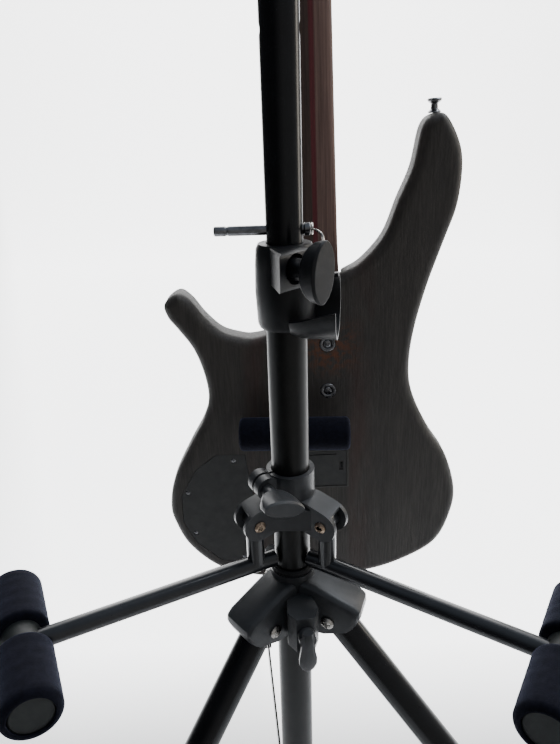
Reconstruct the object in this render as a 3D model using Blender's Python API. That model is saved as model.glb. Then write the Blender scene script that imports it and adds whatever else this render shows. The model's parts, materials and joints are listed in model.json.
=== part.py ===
"""A six-string bass guitar hanging on a folding floor stand for three instruments.

All sizes are in millimetres, turned into metres where a mesh is made. The column's axis stands at x = y = 0
of the empty "stand", whose origin is on the floor; the empty is shifted so that the world's origin is the
middle of the box that the three feet span. Angles around the column are azimuths in degrees from +X.
"""

import math

import bmesh
import bpy
from mathutils import Matrix, Vector

MM = 0.001
GAP = 0.3  # air between neighbouring pieces
CUT = 1.0  # how far a cutter runs past the face it cuts
SLEEVE_SIDES = 20  # facets of the column and of the sleeves around it

# Heights above the floor
ARM_LEVEL = 560.0
COLUMN_BOTTOM = 44.0
COLUMN_TOP = ARM_LEVEL + 236.0
UPPER_TUBE_BOTTOM = ARM_LEVEL - 30.0
UPPER_TUBE_TOP = ARM_LEVEL + 672.0
YOKE_LEVEL = ARM_LEVEL + 700.0
PIN_LEVEL = ARM_LEVEL + 251.5
HOLE_PITCH = 113.5

# Tubes
COLUMN_R = 14.0
COLUMN_BORE_R = 12.5
UPPER_R = 12.0
UPPER_BORE_R = 10.5
LEG_R = 12.0
LEG_BORE_R = 10.5
ARM_R = 6.75
SLEEVE_BORE_R = 14.5

# Tripod
LEG_AZIMUTHS = {"left": 220.0, "right": 340.0, "rear": 100.0}
LEG_ANGLE = 38.6  # from the vertical
LEG_PIVOT_R = 33.0
LEG_PIVOT_Z = ARM_LEVEL - 49.6
LEG_ABOVE_PIVOT = 6.0
FOOT_BALL_R = 17.0
FOOT_BALL_Z = 15.0
LUG_ALONG = 267.0
LUG_OFFSET = 26.0
BRACE_PIVOT_R = 29.0
BRACE_PIVOT_Z = ARM_LEVEL - 502.0
BRACE_END_R = 6.0
LEG_LENGTH = (LEG_PIVOT_Z - FOOT_BALL_Z) / math.cos(math.radians(LEG_ANGLE))
FOOT_RING = LEG_PIVOT_R + LEG_LENGTH * math.sin(math.radians(LEG_ANGLE))

# Cradle arms
ARM_AZIMUTHS = {"left": 206.2, "right": 326.2, "rear": 87.7}
YOKE_AZIMUTHS = {"left": 206.2, "right": 326.2, "rear": 86.4}
HINGE_R = 31.5
HINGE_Z = 40.0  # above the arms
TEE_R = 201.6
CROSSBAR_HALF = 57.0
TEE_SLEEVE_R = 13.0
TEE_SLEEVE_HALF = 8.5
FOAM_R = 18.7
FOAM_HALF = 60.7
CAP_R = 13.6

# Guitar: x across the body, y up along the strings, z out of the back; z = 0 is the back face
GUITAR_X = 26.8
GUITAR_Y = TEE_R + FOAM_R + 9.5
GUITAR_Z = ARM_LEVEL - 3.6
GUITAR_LEAN = 1.5
GUITAR_TILT = 0.98
BODY_THICK = 38.0
BODY_ROUND = 11.0
HEEL_END = 30.0
NUT_Y = 694.0
SADDLE_Y = -170.0
FRETS = 24
STRINGS = 6
NECK_BACK = -25.0
NECK_FACE = -40.0
BOARD_FACE = -46.0
HEAD_TOP = 905.0

# The box that the feet span is centred on the world's origin
foot_xs = [FOOT_RING * math.cos(math.radians(a)) for a in LEG_AZIMUTHS.values()]
foot_ys = [FOOT_RING * math.sin(math.radians(a)) for a in LEG_AZIMUTHS.values()]
AXIS_X = -(min(foot_xs) + max(foot_xs)) / 2
AXIS_Y = -(min(foot_ys) + max(foot_ys)) / 2


# ---------------------------------------------------------------- materials


def material(name, colour, roughness, metallic=0.0):
    made = bpy.data.materials.new(name)
    made.use_nodes = True
    shader = made.node_tree.nodes["Principled BSDF"]
    shader.inputs["Base Color"].default_value = (*colour, 1.0)
    shader.inputs["Roughness"].default_value = roughness
    shader.inputs["Metallic"].default_value = metallic
    return made


BLACK_PAINT = material("black_paint", (0.012, 0.013, 0.016), 0.32, 0.2)
OLIVE_PAINT = material("olive_black_paint", (0.035, 0.034, 0.030), 0.38, 0.2)
CASTING = material("cast_plastic", (0.028, 0.031, 0.038), 0.45)
RUBBER = material("black_rubber", (0.012, 0.012, 0.013), 0.85)
FOAM = material("foam", (0.006, 0.006, 0.012), 0.95)
TEE_PLASTIC = material("tee_plastic", (0.035, 0.042, 0.038), 0.5)
STEEL = material("bright_steel", (0.62, 0.60, 0.57), 0.25, 1.0)
DARK_CHROME = material("dark_chrome", (0.10, 0.10, 0.11), 0.2, 1.0)
BODY_WOOD = material("stained_wood", (0.045, 0.037, 0.032), 0.5)
NECK_WOOD = material("neck_wood", (0.085, 0.045, 0.032), 0.5)
BOARD_WOOD = material("rosewood", (0.035, 0.020, 0.014), 0.55)
COVER_PLASTIC = material("cover_plastic", (0.030, 0.031, 0.031), 0.6)
BONE = material("synthetic_bone", (0.75, 0.70, 0.58), 0.4)


# ---------------------------------------------------------------- making pieces


def empty(name, parent=None, place=(0, 0, 0), turn=None):
    made = bpy.data.objects.new(name, None)
    bpy.context.collection.objects.link(made)
    made.parent = parent
    rotation = turn.to_4x4() if turn else Matrix()
    made.matrix_local = Matrix.Translation(Vector(place) * MM) @ rotation
    return made


def mesh_of(name, bm):
    bmesh.ops.recalc_face_normals(bm, faces=bm.faces)
    bmesh.ops.scale(bm, vec=(MM, MM, MM), verts=bm.verts)
    mesh = bpy.data.meshes.new(name)
    bm.to_mesh(mesh)
    bm.free()
    mesh.shade_smooth()
    mesh.set_sharp_from_angle(angle=math.radians(35))
    return mesh


def piece(name, bm, finish, parent):
    made = bpy.data.objects.new(name, mesh_of(name, bm))
    made.data.materials.append(finish)
    bpy.context.collection.objects.link(made)
    made.parent = parent
    return made


def boolean(target, bm, operation):
    """Joins or cuts the target with bm, which is in the target's own frame."""
    name = f"{target.name}_{operation.lower()}_{len(target.modifiers)}"
    tool = bpy.data.objects.new(name, mesh_of(name, bm))
    bpy.context.collection.objects.link(tool)
    tool.parent = target
    tool.hide_render = True
    tool.display_type = "WIRE"
    modifier = target.modifiers.new(operation.title(), "BOOLEAN")
    modifier.object = tool
    modifier.operation = operation


def rounded(target, width, segments=2, angle=40):
    modifier = target.modifiers.new("Bevel", "BEVEL")
    modifier.width = width * MM
    modifier.segments = segments
    modifier.limit_method = "ANGLE"
    modifier.angle_limit = math.radians(angle)


def facing(direction, up=(0, 0, 1)):
    """A turn whose z axis is the direction, with y as near to up as it can be."""
    z = Vector(direction).normalized()
    side = Vector(up).cross(z)
    if side.length < 1e-6:
        side = Vector((1, 0, 0))
    x = side.normalized()
    return Matrix((x, z.cross(x), z)).transposed()


def at(place, direction=(0, 0, 1), up=(0, 0, 1)):
    return Matrix.Translation(Vector(place)) @ facing(direction, up).to_4x4()


def bridge(bm, rings, closed):
    """Side faces between each ring of corners and the next; a one-corner ring is a point on the axis."""
    pairs = list(zip(rings, rings[1:]))
    if closed:
        pairs.append((rings[-1], rings[0]))
    for low, high in pairs:
        count = max(len(low), len(high))
        for i in range(count):
            j = (i + 1) % count
            corners = [low[i % len(low)], low[j % len(low)], high[j % len(high)], high[i % len(high)]]
            unique = list(dict.fromkeys(corners))
            if len(unique) > 2:
                bm.faces.new(unique)


def turned(bm, profile, matrix=Matrix(), sides=16):
    """A profile of (radius, height) turned about z: closed if it keeps off the axis, else from axis to axis."""
    rings = []
    for radius, height in profile:
        if radius == 0:
            rings.append([bm.verts.new(matrix @ Vector((0, 0, height)))])
            continue
        ring = []
        for i in range(sides):
            angle = math.tau * (i + 0.5) / sides
            corner = Vector((radius * math.cos(angle), radius * math.sin(angle), height))
            ring.append(bm.verts.new(matrix @ corner))
        rings.append(ring)
    bridge(bm, rings, closed=profile[0][0] > 0)


def rod(bm, radius, low, high, matrix=Matrix(), sides=16):
    turned(bm, [(0, low), (radius, low), (radius, high), (0, high)], matrix, sides)


def pipe(bm, bore, radius, low, high, matrix=Matrix(), sides=16):
    turned(bm, [(bore, low), (radius, low), (radius, high), (bore, high)], matrix, sides)


def lofted(bm, sections):
    """Rings of points with equal counts, joined in order and closed with a face at each end."""
    rings = [[bm.verts.new(Vector(p)) for p in section] for section in sections]
    bridge(bm, rings, closed=False)
    bm.faces.new(rings[0])
    bm.faces.new(rings[-1])


def prism(bm, outline, low, high, matrix=Matrix()):
    """A flat outline of (x, y) given depth along z."""
    lofted(bm, [[matrix @ Vector((x, y, z)) for x, y in outline] for z in (low, high)])


def swept(bm, path, radius, sides=8):
    """A round wire or rod along a path of points."""
    points = [Vector(p) for p in path]
    sections = []
    across = None
    for i, point in enumerate(points):
        ahead = (points[min(i + 1, len(points) - 1)] - points[max(i - 1, 0)]).normalized()
        if across is None:
            across = ahead.orthogonal().normalized()
        across = (across - ahead * across.dot(ahead)).normalized()
        other = ahead.cross(across)
        ring = []
        for k in range(sides):
            angle = math.tau * k / sides
            ring.append(point + radius * (math.cos(angle) * across + math.sin(angle) * other))
        sections.append(ring)
    lofted(bm, sections)


def arc(centre, radius, start, end, steps):
    """Points (x, y) on an arc, angles in degrees."""
    points = []
    for i in range(steps + 1):
        angle = math.radians(start + (end - start) * i / steps)
        points.append((centre[0] + radius * math.cos(angle), centre[1] + radius * math.sin(angle)))
    return points


def smooth_line(points, steps, closed=True):
    """A Catmull-Rom curve through the points, with steps points for each span."""
    count = len(points)
    curve = []
    for i in range(count if closed else count - 1):
        if closed:
            a, b, c, d = (Vector(points[(i + k) % count]) for k in (-1, 0, 1, 2))
        else:
            a, b, c, d = (Vector(points[min(max(i + k, 0), count - 1)]) for k in (-1, 0, 1, 2))
        for step in range(steps):
            t = step / steps
            curve.append(
                0.5 * (2 * b + (c - a) * t + (2 * a - 5 * b + 4 * c - d) * t**2 + (3 * b - a - 3 * c + d) * t**3)
            )
    if not closed:
        curve.append(Vector(points[-1]))
    return curve


def wing(bm, half_width, half_thick, depth, front, steps=10):
    """A wing grip about z: pointed ends along x, straight outer edge at z = front, curved inner edge."""
    sections = []
    for i in range(steps + 1):
        angle = math.pi * (i / steps - 0.5) * 0.94
        y = half_thick * math.cos(angle) + 0.4
        back = front - 1.5 - depth * math.cos(angle) ** 0.8
        chamfer = min(1.4, 0.4 * y)
        top = front - chamfer
        x = half_width * math.sin(angle)
        sections.append(
            [
                (x, -y, back + chamfer),
                (x, -y + chamfer, back),
                (x, y - chamfer, back),
                (x, y, back + chamfer),
                (x, y, top),
                (x, y - chamfer, front),
                (x, -y + chamfer, front),
                (x, -y, top),
            ]
        )
    lofted(bm, sections)


# ---------------------------------------------------------------- frame of the stand

for leftover in list(bpy.data.objects):
    bpy.data.objects.remove(leftover, do_unlink=True)

stand = empty("stand", place=(AXIS_X, AXIS_Y, 0))


def radial(name, parent, azimuth, radius, height):
    """An empty at a radius and height whose x axis points away from the column."""
    angle = math.radians(azimuth)
    place = (radius * math.cos(angle), radius * math.sin(angle), height)
    return empty(name, parent, place, Matrix.Rotation(angle, 3, "Z"))


def spoke(azimuth):
    """Matrix of a frame at the column's axis whose x axis points along the azimuth."""
    return Matrix.Rotation(math.radians(azimuth), 4, "Z")


UPRIGHT = Matrix.Rotation(math.radians(90), 4, "X")  # an outline's (x, y) stands in the x-z plane


# ---------------------------------------------------------------- column


def make_column():
    bm = bmesh.new()
    pipe(bm, COLUMN_BORE_R, COLUMN_R, COLUMN_BOTTOM, COLUMN_TOP, sides=SLEEVE_SIDES)
    piece("column_tube", bm, OLIVE_PAINT, stand)

    bm = bmesh.new()
    pipe(bm, COLUMN_R + GAP, 19.0, BRACE_PIVOT_Z - 9, BRACE_PIVOT_Z + 9, sides=SLEEVE_SIDES)
    collar = piece("brace_collar", bm, CASTING, stand)
    ears = bmesh.new()
    pins = bmesh.new()
    outline = [(16.5, -6.5)] + arc((BRACE_PIVOT_R, 0), 6.5, -90, 90, 4) + [(16.5, 6.5)]
    for azimuth in LEG_AZIMUTHS.values():
        frame = spoke(azimuth) @ Matrix.Translation((0, 0, BRACE_PIVOT_Z))
        for side in (-1, 1):
            prism(ears, outline, side * 2.7 - 1.1, side * 2.7 + 1.1, frame @ UPRIGHT)
        across = frame @ at((BRACE_PIVOT_R, 0, 0), (0, 1, 0))
        rod(pins, 2.0, -5.0, 5.0, across, 8)
    boolean(collar, ears, "UNION")
    boolean(collar, pins, "UNION")


# ---------------------------------------------------------------- tripod

BRACE_TOP_R = (
    LEG_PIVOT_R
    + LUG_ALONG * math.sin(math.radians(LEG_ANGLE))
    - LUG_OFFSET * math.cos(math.radians(LEG_ANGLE))
)
BRACE_TOP_Z = (
    LEG_PIVOT_Z
    - LUG_ALONG * math.cos(math.radians(LEG_ANGLE))
    - LUG_OFFSET * math.sin(math.radians(LEG_ANGLE))
)


def make_leg(side, azimuth):
    """The leg's frame: z runs down along the leg, x is up and out, y lies on the hinge's axis."""
    slope = math.radians(LEG_ANGLE)
    turn = Matrix.Rotation(math.radians(azimuth), 3, "Z") @ facing(
        (math.sin(slope), 0, -math.cos(slope)), (0, -1, 0)
    )
    angle = math.radians(azimuth)
    pivot = empty(
        f"leg_{side}_hinge",
        stand,
        (LEG_PIVOT_R * math.cos(angle), LEG_PIVOT_R * math.sin(angle), LEG_PIVOT_Z),
        turn,
    )

    bm = bmesh.new()
    pipe(bm, LEG_BORE_R, LEG_R, -LEG_ABOVE_PIVOT, LEG_LENGTH - 9 - GAP)
    leg = piece(f"leg_{side}", bm, BLACK_PAINT, pivot)
    lug = bmesh.new()
    outline = [(-11.0, LUG_ALONG - 8)]
    outline += arc((-LUG_OFFSET, LUG_ALONG), 6.5, -90, -270, 6)
    outline += [(-11.0, LUG_ALONG + 8)]
    for ear in (-1, 1):
        prism(lug, outline, ear * 2.5 - 0.9, ear * 2.5 + 0.9, UPRIGHT)
    boolean(leg, lug, "UNION")
    hole = bmesh.new()
    rod(hole, 3.3, -LEG_R - CUT, LEG_R + CUT, at((0, 0, 0), (0, 1, 0)), 12)
    boolean(leg, hole, "DIFFERENCE")

    socket = LEG_R + GAP
    ball = [(FOOT_BALL_R * math.cos(a), LEG_LENGTH + FOOT_BALL_R * math.sin(a)) for a in
            (math.radians(d) for d in (70, 45, 20, -5))]
    profile = [(0, LEG_LENGTH + FOOT_BALL_R)] + ball
    profile += [(15.5, LEG_LENGTH - 14), (14.5, LEG_LENGTH - 43.5)]
    profile += [(socket, LEG_LENGTH - 43.5), (socket, LEG_LENGTH - 9), (0, LEG_LENGTH - 9)]
    bm = bmesh.new()
    turned(bm, profile)
    down = turn.inverted() @ Vector((0, 0, -1))
    cut = bmesh.ops.bisect_plane(
        bm,
        geom=bm.verts[:] + bm.edges[:] + bm.faces[:],
        plane_co=Vector((0, 0, LEG_LENGTH)) + down * FOOT_BALL_Z,
        plane_no=down,
        clear_outer=True,
    )
    bmesh.ops.contextual_create(bm, geom=[e for e in cut["geom_cut"] if isinstance(e, bmesh.types.BMEdge)])
    piece(f"foot_{side}", bm, RUBBER, pivot)


def make_brace(side, azimuth):
    rise = BRACE_TOP_Z - BRACE_PIVOT_Z
    reach = BRACE_TOP_R - BRACE_PIVOT_R
    length = math.hypot(rise, reach)
    angle = math.radians(azimuth)
    turn = Matrix.Rotation(angle, 3, "Z") @ facing((reach, 0, rise), (0, -1, 0))
    place = (BRACE_PIVOT_R * math.cos(angle), BRACE_PIVOT_R * math.sin(angle), BRACE_PIVOT_Z)
    pivot = empty(f"brace_{side}_hinge", stand, place, turn)
    outline = arc((0, 0), BRACE_END_R, -180, 0, 8) + arc((0, length), BRACE_END_R, 0, 180, 8)
    bm = bmesh.new()
    prism(bm, outline, -1.0, 1.0, UPRIGHT)
    brace = piece(f"brace_{side}", bm, BLACK_PAINT, pivot)
    hole = bmesh.new()
    rod(hole, 2.4, -3, 3, at((0, 0, 0), (0, 1, 0)), 12)
    boolean(brace, hole, "DIFFERENCE")


SADDLE_SIDE = [(10, -17), (22, -20), (53, -32.5), (58, -37), (58.5, -42), (55, -50)]
SADDLE_SIDE += [(48, -56), (30, -62), (10, -62)]
SADDLE_CAVITY = [(18.8, -23.5), (52, -36.5), (54.5, -40), (52, -48), (52, -75), (18.8, -75)]
SADDLE_HALF = 15.5
CAVITY_HALF = LEG_R + 0.5
HEAD_KNOB_AZIMUTH = 280.0
HEAD_KNOB_Z = -41.0
HOUSING_FACE = 46.0


def make_head():
    head = empty("head_slide", stand, (0, 0, ARM_LEVEL))
    bm = bmesh.new()
    rod(bm, 17.5, -62, -13, sides=SLEEVE_SIDES)
    casting = piece("tripod_head", bm, CASTING, head)
    for azimuth in LEG_AZIMUTHS.values():
        saddle = bmesh.new()
        prism(saddle, SADDLE_SIDE, -SADDLE_HALF, SADDLE_HALF, spoke(azimuth) @ UPRIGHT)
        bmesh.ops.recalc_face_normals(saddle, faces=saddle.faces)
        ridge = [e for e in saddle.edges if min(v.co.z for v in e.verts) > -52 and e.calc_face_angle(0) > 1.2]
        bmesh.ops.bevel(saddle, geom=ridge, offset=5.5, segments=3, affect="EDGES", profile=0.5)
        boolean(casting, saddle, "UNION")
    housing = bmesh.new()
    outline = [(16, -9), (HOUSING_FACE - 9, -12), (HOUSING_FACE, -7)]
    outline += [(HOUSING_FACE, 7), (HOUSING_FACE - 9, 12), (16, 9)]
    prism(housing, outline, -58, -27, spoke(HEAD_KNOB_AZIMUTH))
    boolean(casting, housing, "UNION")
    space = bmesh.new()
    for azimuth in LEG_AZIMUTHS.values():
        prism(space, SADDLE_CAVITY, -CAVITY_HALF, CAVITY_HALF, spoke(azimuth) @ UPRIGHT)
    boolean(casting, space, "DIFFERENCE")
    holes = bmesh.new()
    for side, azimuth in LEG_AZIMUTHS.items():
        hinge = spoke(azimuth) @ Matrix.Translation((LEG_PIVOT_R, 0, LEG_PIVOT_Z - ARM_LEVEL))
        across = hinge @ at((0, 0, 0), (0, 1, 0))
        rod(holes, 3.3, -SADDLE_HALF - CUT, SADDLE_HALF + CUT, across, 12)
        head_face = SADDLE_HALF + GAP
        screw = [(0, -head_face - 2.6), (3.2, -head_face - 2.6), (5.2, -head_face - 1.2), (5.2, -head_face)]
        screw += [(3.0, -head_face), (3.0, head_face), (5.2, head_face), (5.2, head_face + 1.2)]
        screw += [(3.2, head_face + 2.6), (0, head_face + 2.6)]
        bolt = bmesh.new()
        turned(bolt, screw, across, 12)
        piece(f"leg_bolt_{side}", bolt, STEEL, head)
    boolean(casting, holes, "DIFFERENCE")
    bore = bmesh.new()
    rod(bore, SLEEVE_BORE_R, -80, 0, sides=SLEEVE_SIDES)
    knob_frame = spoke(HEAD_KNOB_AZIMUTH) @ at((0, 0, HEAD_KNOB_Z), (1, 0, 0))
    boolean(casting, bore, "DIFFERENCE")
    hole = bmesh.new()
    rod(hole, 3.3, 5, HOUSING_FACE + CUT, knob_frame, 12)
    boolean(casting, hole, "DIFFERENCE")

    bm = bmesh.new()
    profile = [(SLEEVE_BORE_R, -12.7), (16.4, -12.7), (16.4, -9.5), (15.6, -8.2), (SLEEVE_BORE_R, -8.2)]
    turned(bm, profile, sides=SLEEVE_SIDES)
    piece("head_bush", bm, RUBBER, head)

    knob_axis = empty("head_knob_axis", head)
    knob_axis.matrix_local = Matrix.LocRotScale(knob_frame.translation * MM, knob_frame.to_quaternion(), None)
    bm = bmesh.new()
    rod(bm, 3.0, COLUMN_R + 1.0, HOUSING_FACE + 4, sides=16)
    knob = piece("head_knob", bm, CASTING, knob_axis)
    boss = bmesh.new()
    rod(boss, 6.5, HOUSING_FACE + GAP, HOUSING_FACE + 8, sides=20)
    boolean(knob, boss, "UNION")
    paddle = bmesh.new()
    stations = [(7, 4.0, 3.4), (2, 5.5, 4.4), (-5, 5.2, 4.0), (-11, 6.0, 3.9), (-17, 7.2, 3.6), (-23, 7.0, 3.0)]
    stations += [(-27.5, 4.8, 2.2), (-30, 1.8, 1.2)]
    centre = HOUSING_FACE + 6.5
    sections = []
    for y, half_width, half_thick in stations:
        ring = []
        for k in range(10):
            a = math.tau * (k + 0.5) / 10
            ring.append((half_width * math.cos(a), y, centre + half_thick * math.sin(a)))
        sections.append(ring)
    lofted(paddle, sections)
    boolean(knob, paddle, "UNION")


# ---------------------------------------------------------------- hub of the cradle arms

CLEVIS_SIDE = [(10, 57), (20, 56), (34, 52)]
CLEVIS_SIDE += arc((HINGE_R, HINGE_Z), 12, 62, -105, 9) + [(18, 31), (10, 31)]
CLEVIS_CAVITY = [(19.2, 20), (19.2, 52), (32, 48.8), (38, 48), (38, 60), (60, 60), (60, 20)]
CLEVIS_HALF = 10.5
POST_SPACE_HALF = 7.1
EAR_AZIMUTH = 207.0
EAR_R = 22.5
EAR_Z = 68.5
CLAMP_R = 24.5


def make_hub():
    hub_frame = empty("hub_slide", stand, (0, 0, ARM_LEVEL))
    bm = bmesh.new()
    rod(bm, 18.0, 33, 76.5, sides=SLEEVE_SIDES)
    hub = piece("hub", bm, CASTING, hub_frame)
    fascia = bmesh.new()
    web = [(-17.7, -20.3), (15.0, -22.0), (13, -12), (-13, -12)]
    prism(fascia, web, 34, 52)
    boolean(hub, fascia, "UNION")
    for azimuth in ARM_AZIMUTHS.values():
        clevis = bmesh.new()
        prism(clevis, CLEVIS_SIDE, -CLEVIS_HALF, CLEVIS_HALF, spoke(azimuth) @ UPRIGHT)
        boolean(hub, clevis, "UNION")
    ears = bmesh.new()
    ear_frame = spoke(EAR_AZIMUTH) @ at((EAR_R, 0, EAR_Z), (0, 1, 0))
    rod(ears, 9.0, -8.5, 8.5, ear_frame, 12)
    boolean(hub, ears, "UNION")
    space = bmesh.new()
    for azimuth in ARM_AZIMUTHS.values():
        prism(space, CLEVIS_CAVITY, -POST_SPACE_HALF, POST_SPACE_HALF, spoke(azimuth) @ UPRIGHT)
    boolean(hub, space, "DIFFERENCE")
    slot = bmesh.new()
    prism(slot, [(8, 61.5), (40, 61.5), (40, 90), (8, 90)], -1.2, 1.2, spoke(EAR_AZIMUTH) @ UPRIGHT)
    boolean(hub, slot, "DIFFERENCE")
    screws = bmesh.new()
    face = CLEVIS_HALF - 0.2
    for azimuth in ARM_AZIMUTHS.values():
        across = spoke(azimuth) @ at((HINGE_R, 0, HINGE_Z), (0, 1, 0))
        profile = [(0, -face - 2.2), (2.8, -face - 2.2), (4.4, -face - 1.0), (4.4, -face), (2.5, -face)]
        profile += [(2.5, face), (4.4, face), (4.4, face + 1.0), (2.8, face + 2.2), (0, face + 2.2)]
        turned(screws, profile, across, 12)
    clamp = spoke(EAR_AZIMUTH) @ at((CLAMP_R, 0, EAR_Z), (0, 1, 0))
    clamp_hole = bmesh.new()
    rod(clamp_hole, 3.4, -14, 14, clamp, 12)
    boolean(hub, clamp_hole, "DIFFERENCE")
    bore = bmesh.new()
    rod(bore, SLEEVE_BORE_R, 20, 90, sides=SLEEVE_SIDES)
    boolean(hub, bore, "DIFFERENCE")
    boolean(hub, screws, "UNION")

    knob_axis = empty("hub_knob_axis", hub_frame)
    knob_axis.matrix_local = Matrix.LocRotScale(clamp.translation * MM, clamp.to_quaternion(), None)
    bm = bmesh.new()
    turned(bm, [(0, -11.5), (5.4, -11.5), (5.4, -8.8), (3.0, -8.8), (3.0, 8.8), (4.8, 8.8), (5.4, 24), (0, 24)])
    knob = piece("hub_knob", bm, CASTING, knob_axis)
    grip = bmesh.new()
    wing(grip, 16.0, 6.4, 18.0, 38)
    bmesh.ops.rotate(grip, cent=(0, 0, 0), matrix=Matrix.Rotation(math.radians(-17), 3, "Z"), verts=grip.verts)
    boolean(knob, grip, "UNION")


def make_arm(side, azimuth):
    """The arm's frame is at its hinge: x points out, z up."""
    hinge = radial(f"arm_{side}_hinge", stand, azimuth, HINGE_R, ARM_LEVEL + HINGE_Z)
    bm = bmesh.new()
    along = at((0, 0, -HINGE_Z), (1, 0, 0))
    tee = TEE_R - HINGE_R
    rod(bm, ARM_R, 16 - HINGE_R, tee - TEE_SLEEVE_R + 4, along, 12)
    arm = piece(f"arm_{side}", bm, BLACK_PAINT, hinge)
    post = bmesh.new()
    prism(post, arc((0, 0), ARM_R, 0, 360 - 18, 19), -HINGE_Z, 0)
    boolean(arm, post, "UNION")
    top = bmesh.new()
    rod(top, ARM_R - 0.02, -ARM_R + 0.3, ARM_R - 0.3, at((0, 0, 0), (0, 1, 0)), 12)
    boolean(arm, top, "UNION")
    cuts = bmesh.new()
    rod(cuts, 2.8, -ARM_R - CUT, ARM_R + CUT, at((0, 0, 0), (0, 1, 0)), 12)
    rod(cuts, 5.5, 16 - HINGE_R - CUT, tee - TEE_SLEEVE_R - 2, along, 12)
    boolean(arm, cuts, "DIFFERENCE")

    bar = at((tee, 0, -HINGE_Z), (0, 1, 0))
    bm = bmesh.new()
    face = FOAM_HALF - 1.4
    end = CROSSBAR_HALF + GAP
    profile = [(0, -face), (CAP_R - 1, -face), (CAP_R, -face + 0.8), (CAP_R, -end), (ARM_R, -end)]
    profile += [(ARM_R, -TEE_SLEEVE_HALF), (TEE_SLEEVE_R, -TEE_SLEEVE_HALF)]
    profile += [(radius, -height) for radius, height in reversed(profile)]
    turned(bm, profile, bar)
    crossbar = piece(f"crossbar_{side}", bm, TEE_PLASTIC, hinge)
    socket = bmesh.new()
    rod(socket, ARM_R + GAP, tee - TEE_SLEEVE_R - 4, tee - TEE_SLEEVE_R + 4 + GAP, along, 12)
    boolean(crossbar, socket, "DIFFERENCE")

    hole = ARM_R + GAP
    inner = TEE_SLEEVE_HALF + GAP
    for number, direction in ((1, -1), (2, 1)):
        bm = bmesh.new()
        profile = [(hole, inner), (FOAM_R - 2, inner), (FOAM_R, inner + 2), (FOAM_R, FOAM_HALF - 4)]
        profile += [(FOAM_R - 3.5, FOAM_HALF), (CAP_R + GAP, FOAM_HALF - 0.6)]
        profile += [(CAP_R + GAP, CROSSBAR_HALF), (hole, CROSSBAR_HALF)]
        turned(bm, [(r, direction * h) for r, h in profile], bar)
        piece(f"foam_{side}_{number}", bm, FOAM, hinge)


# ---------------------------------------------------------------- clutch, upper tube and safety pin

CLUTCH_BOTTOM = 187.5
CLUTCH_TOP = 243.2
CLUTCH_AZIMUTH = 318.0
CLUTCH_SIDE = -20.0
CLUTCH_KNOB_Z = 232.4
BLOCK_FACE = 26.4
GUARD_AZIMUTH = 350.0
GUARD_R = 22.0
GUARD_WALL = 2.4
GUARD_Z = 204.5
GUARD_SIDE = -12.0
GUARD_END = 36.0


def make_clutch():
    frame = empty("clutch", stand, (0, 0, ARM_LEVEL))
    bm = bmesh.new()
    profile = [(0, CLUTCH_BOTTOM), (18.2, CLUTCH_BOTTOM), (19.4, 190.5), (20.4, 212), (19.9, 230)]
    profile += [(19.1, 240), (17.6, CLUTCH_TOP), (0, CLUTCH_TOP)]
    turned(bm, profile, sides=SLEEVE_SIDES)
    housing = piece("clutch_housing", bm, CASTING, frame)
    block = bmesh.new()
    outline = [(-6, -9), (4.5, -19.2), (BLOCK_FACE, -35), (BLOCK_FACE, -5), (2, 8)]
    prism(block, outline, 219.5, CLUTCH_TOP - 0.4, spoke(CLUTCH_AZIMUTH))
    top_edges = [e for e in block.edges if min(v.co.z for v in e.verts) > 240 or e.calc_length() > 28.5]
    bmesh.ops.bevel(block, geom=top_edges, offset=2.2, segments=2, affect="EDGES", profile=0.5)
    boolean(housing, block, "UNION")
    guard = bmesh.new()
    sections = []
    stations = [(6, 19.5, 1.5, -158), (14, 21.6, 0.3, -166), (GUARD_END, GUARD_R, 0, -183)]
    for x, radius, inward_shift, front_edge in stations:
        outline = arc((0, 0), radius, 95, front_edge, 16) + arc((0, 0), radius - GUARD_WALL, front_edge, 95, 16)
        frame_there = spoke(GUARD_AZIMUTH) @ Matrix.Translation((x, GUARD_SIDE + inward_shift, GUARD_Z))
        sections.append([frame_there @ Vector((0, y, z)) for y, z in outline])
    lofted(guard, sections)
    boolean(housing, guard, "UNION")
    bore = bmesh.new()
    profile = [(0, 150), (COLUMN_R + GAP, 150), (COLUMN_R + GAP, 236.4), (UPPER_R + 0.4, 236.4)]
    profile += [(UPPER_R + 0.4, 260), (0, 260)]
    turned(bore, profile, sides=SLEEVE_SIDES)
    boolean(housing, bore, "DIFFERENCE")
    axis = spoke(CLUTCH_AZIMUTH) @ at((0, CLUTCH_SIDE, CLUTCH_KNOB_Z), (1, 0, 0))
    recess = bmesh.new()
    profile = [(0, 14), (3.4, 14), (3.4, BLOCK_FACE - 7), (9.5, BLOCK_FACE - 7), (9.5, BLOCK_FACE + 4)]
    profile += [(0, BLOCK_FACE + 4)]
    turned(recess, profile, axis)
    boolean(housing, recess, "DIFFERENCE")

    knob_axis = empty("clutch_knob_axis", frame)
    knob_axis.matrix_local = Matrix.LocRotScale(axis.translation * MM, axis.to_quaternion(), None)
    bm = bmesh.new()
    profile = [(0, 15), (3.0, 15), (3.0, BLOCK_FACE - 6), (7.0, BLOCK_FACE - 6), (6.6, BLOCK_FACE + 14)]
    turned(bm, profile + [(0, BLOCK_FACE + 14)])
    knob = piece("clutch_knob", bm, CASTING, knob_axis)
    grip = bmesh.new()
    wing(grip, 18.8, 10.5, 11.0, BLOCK_FACE + 22)
    bmesh.ops.rotate(grip, cent=(0, 0, 0), matrix=Matrix.Rotation(math.radians(83), 3, "Z"), verts=grip.verts)
    boolean(knob, grip, "UNION")


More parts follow.
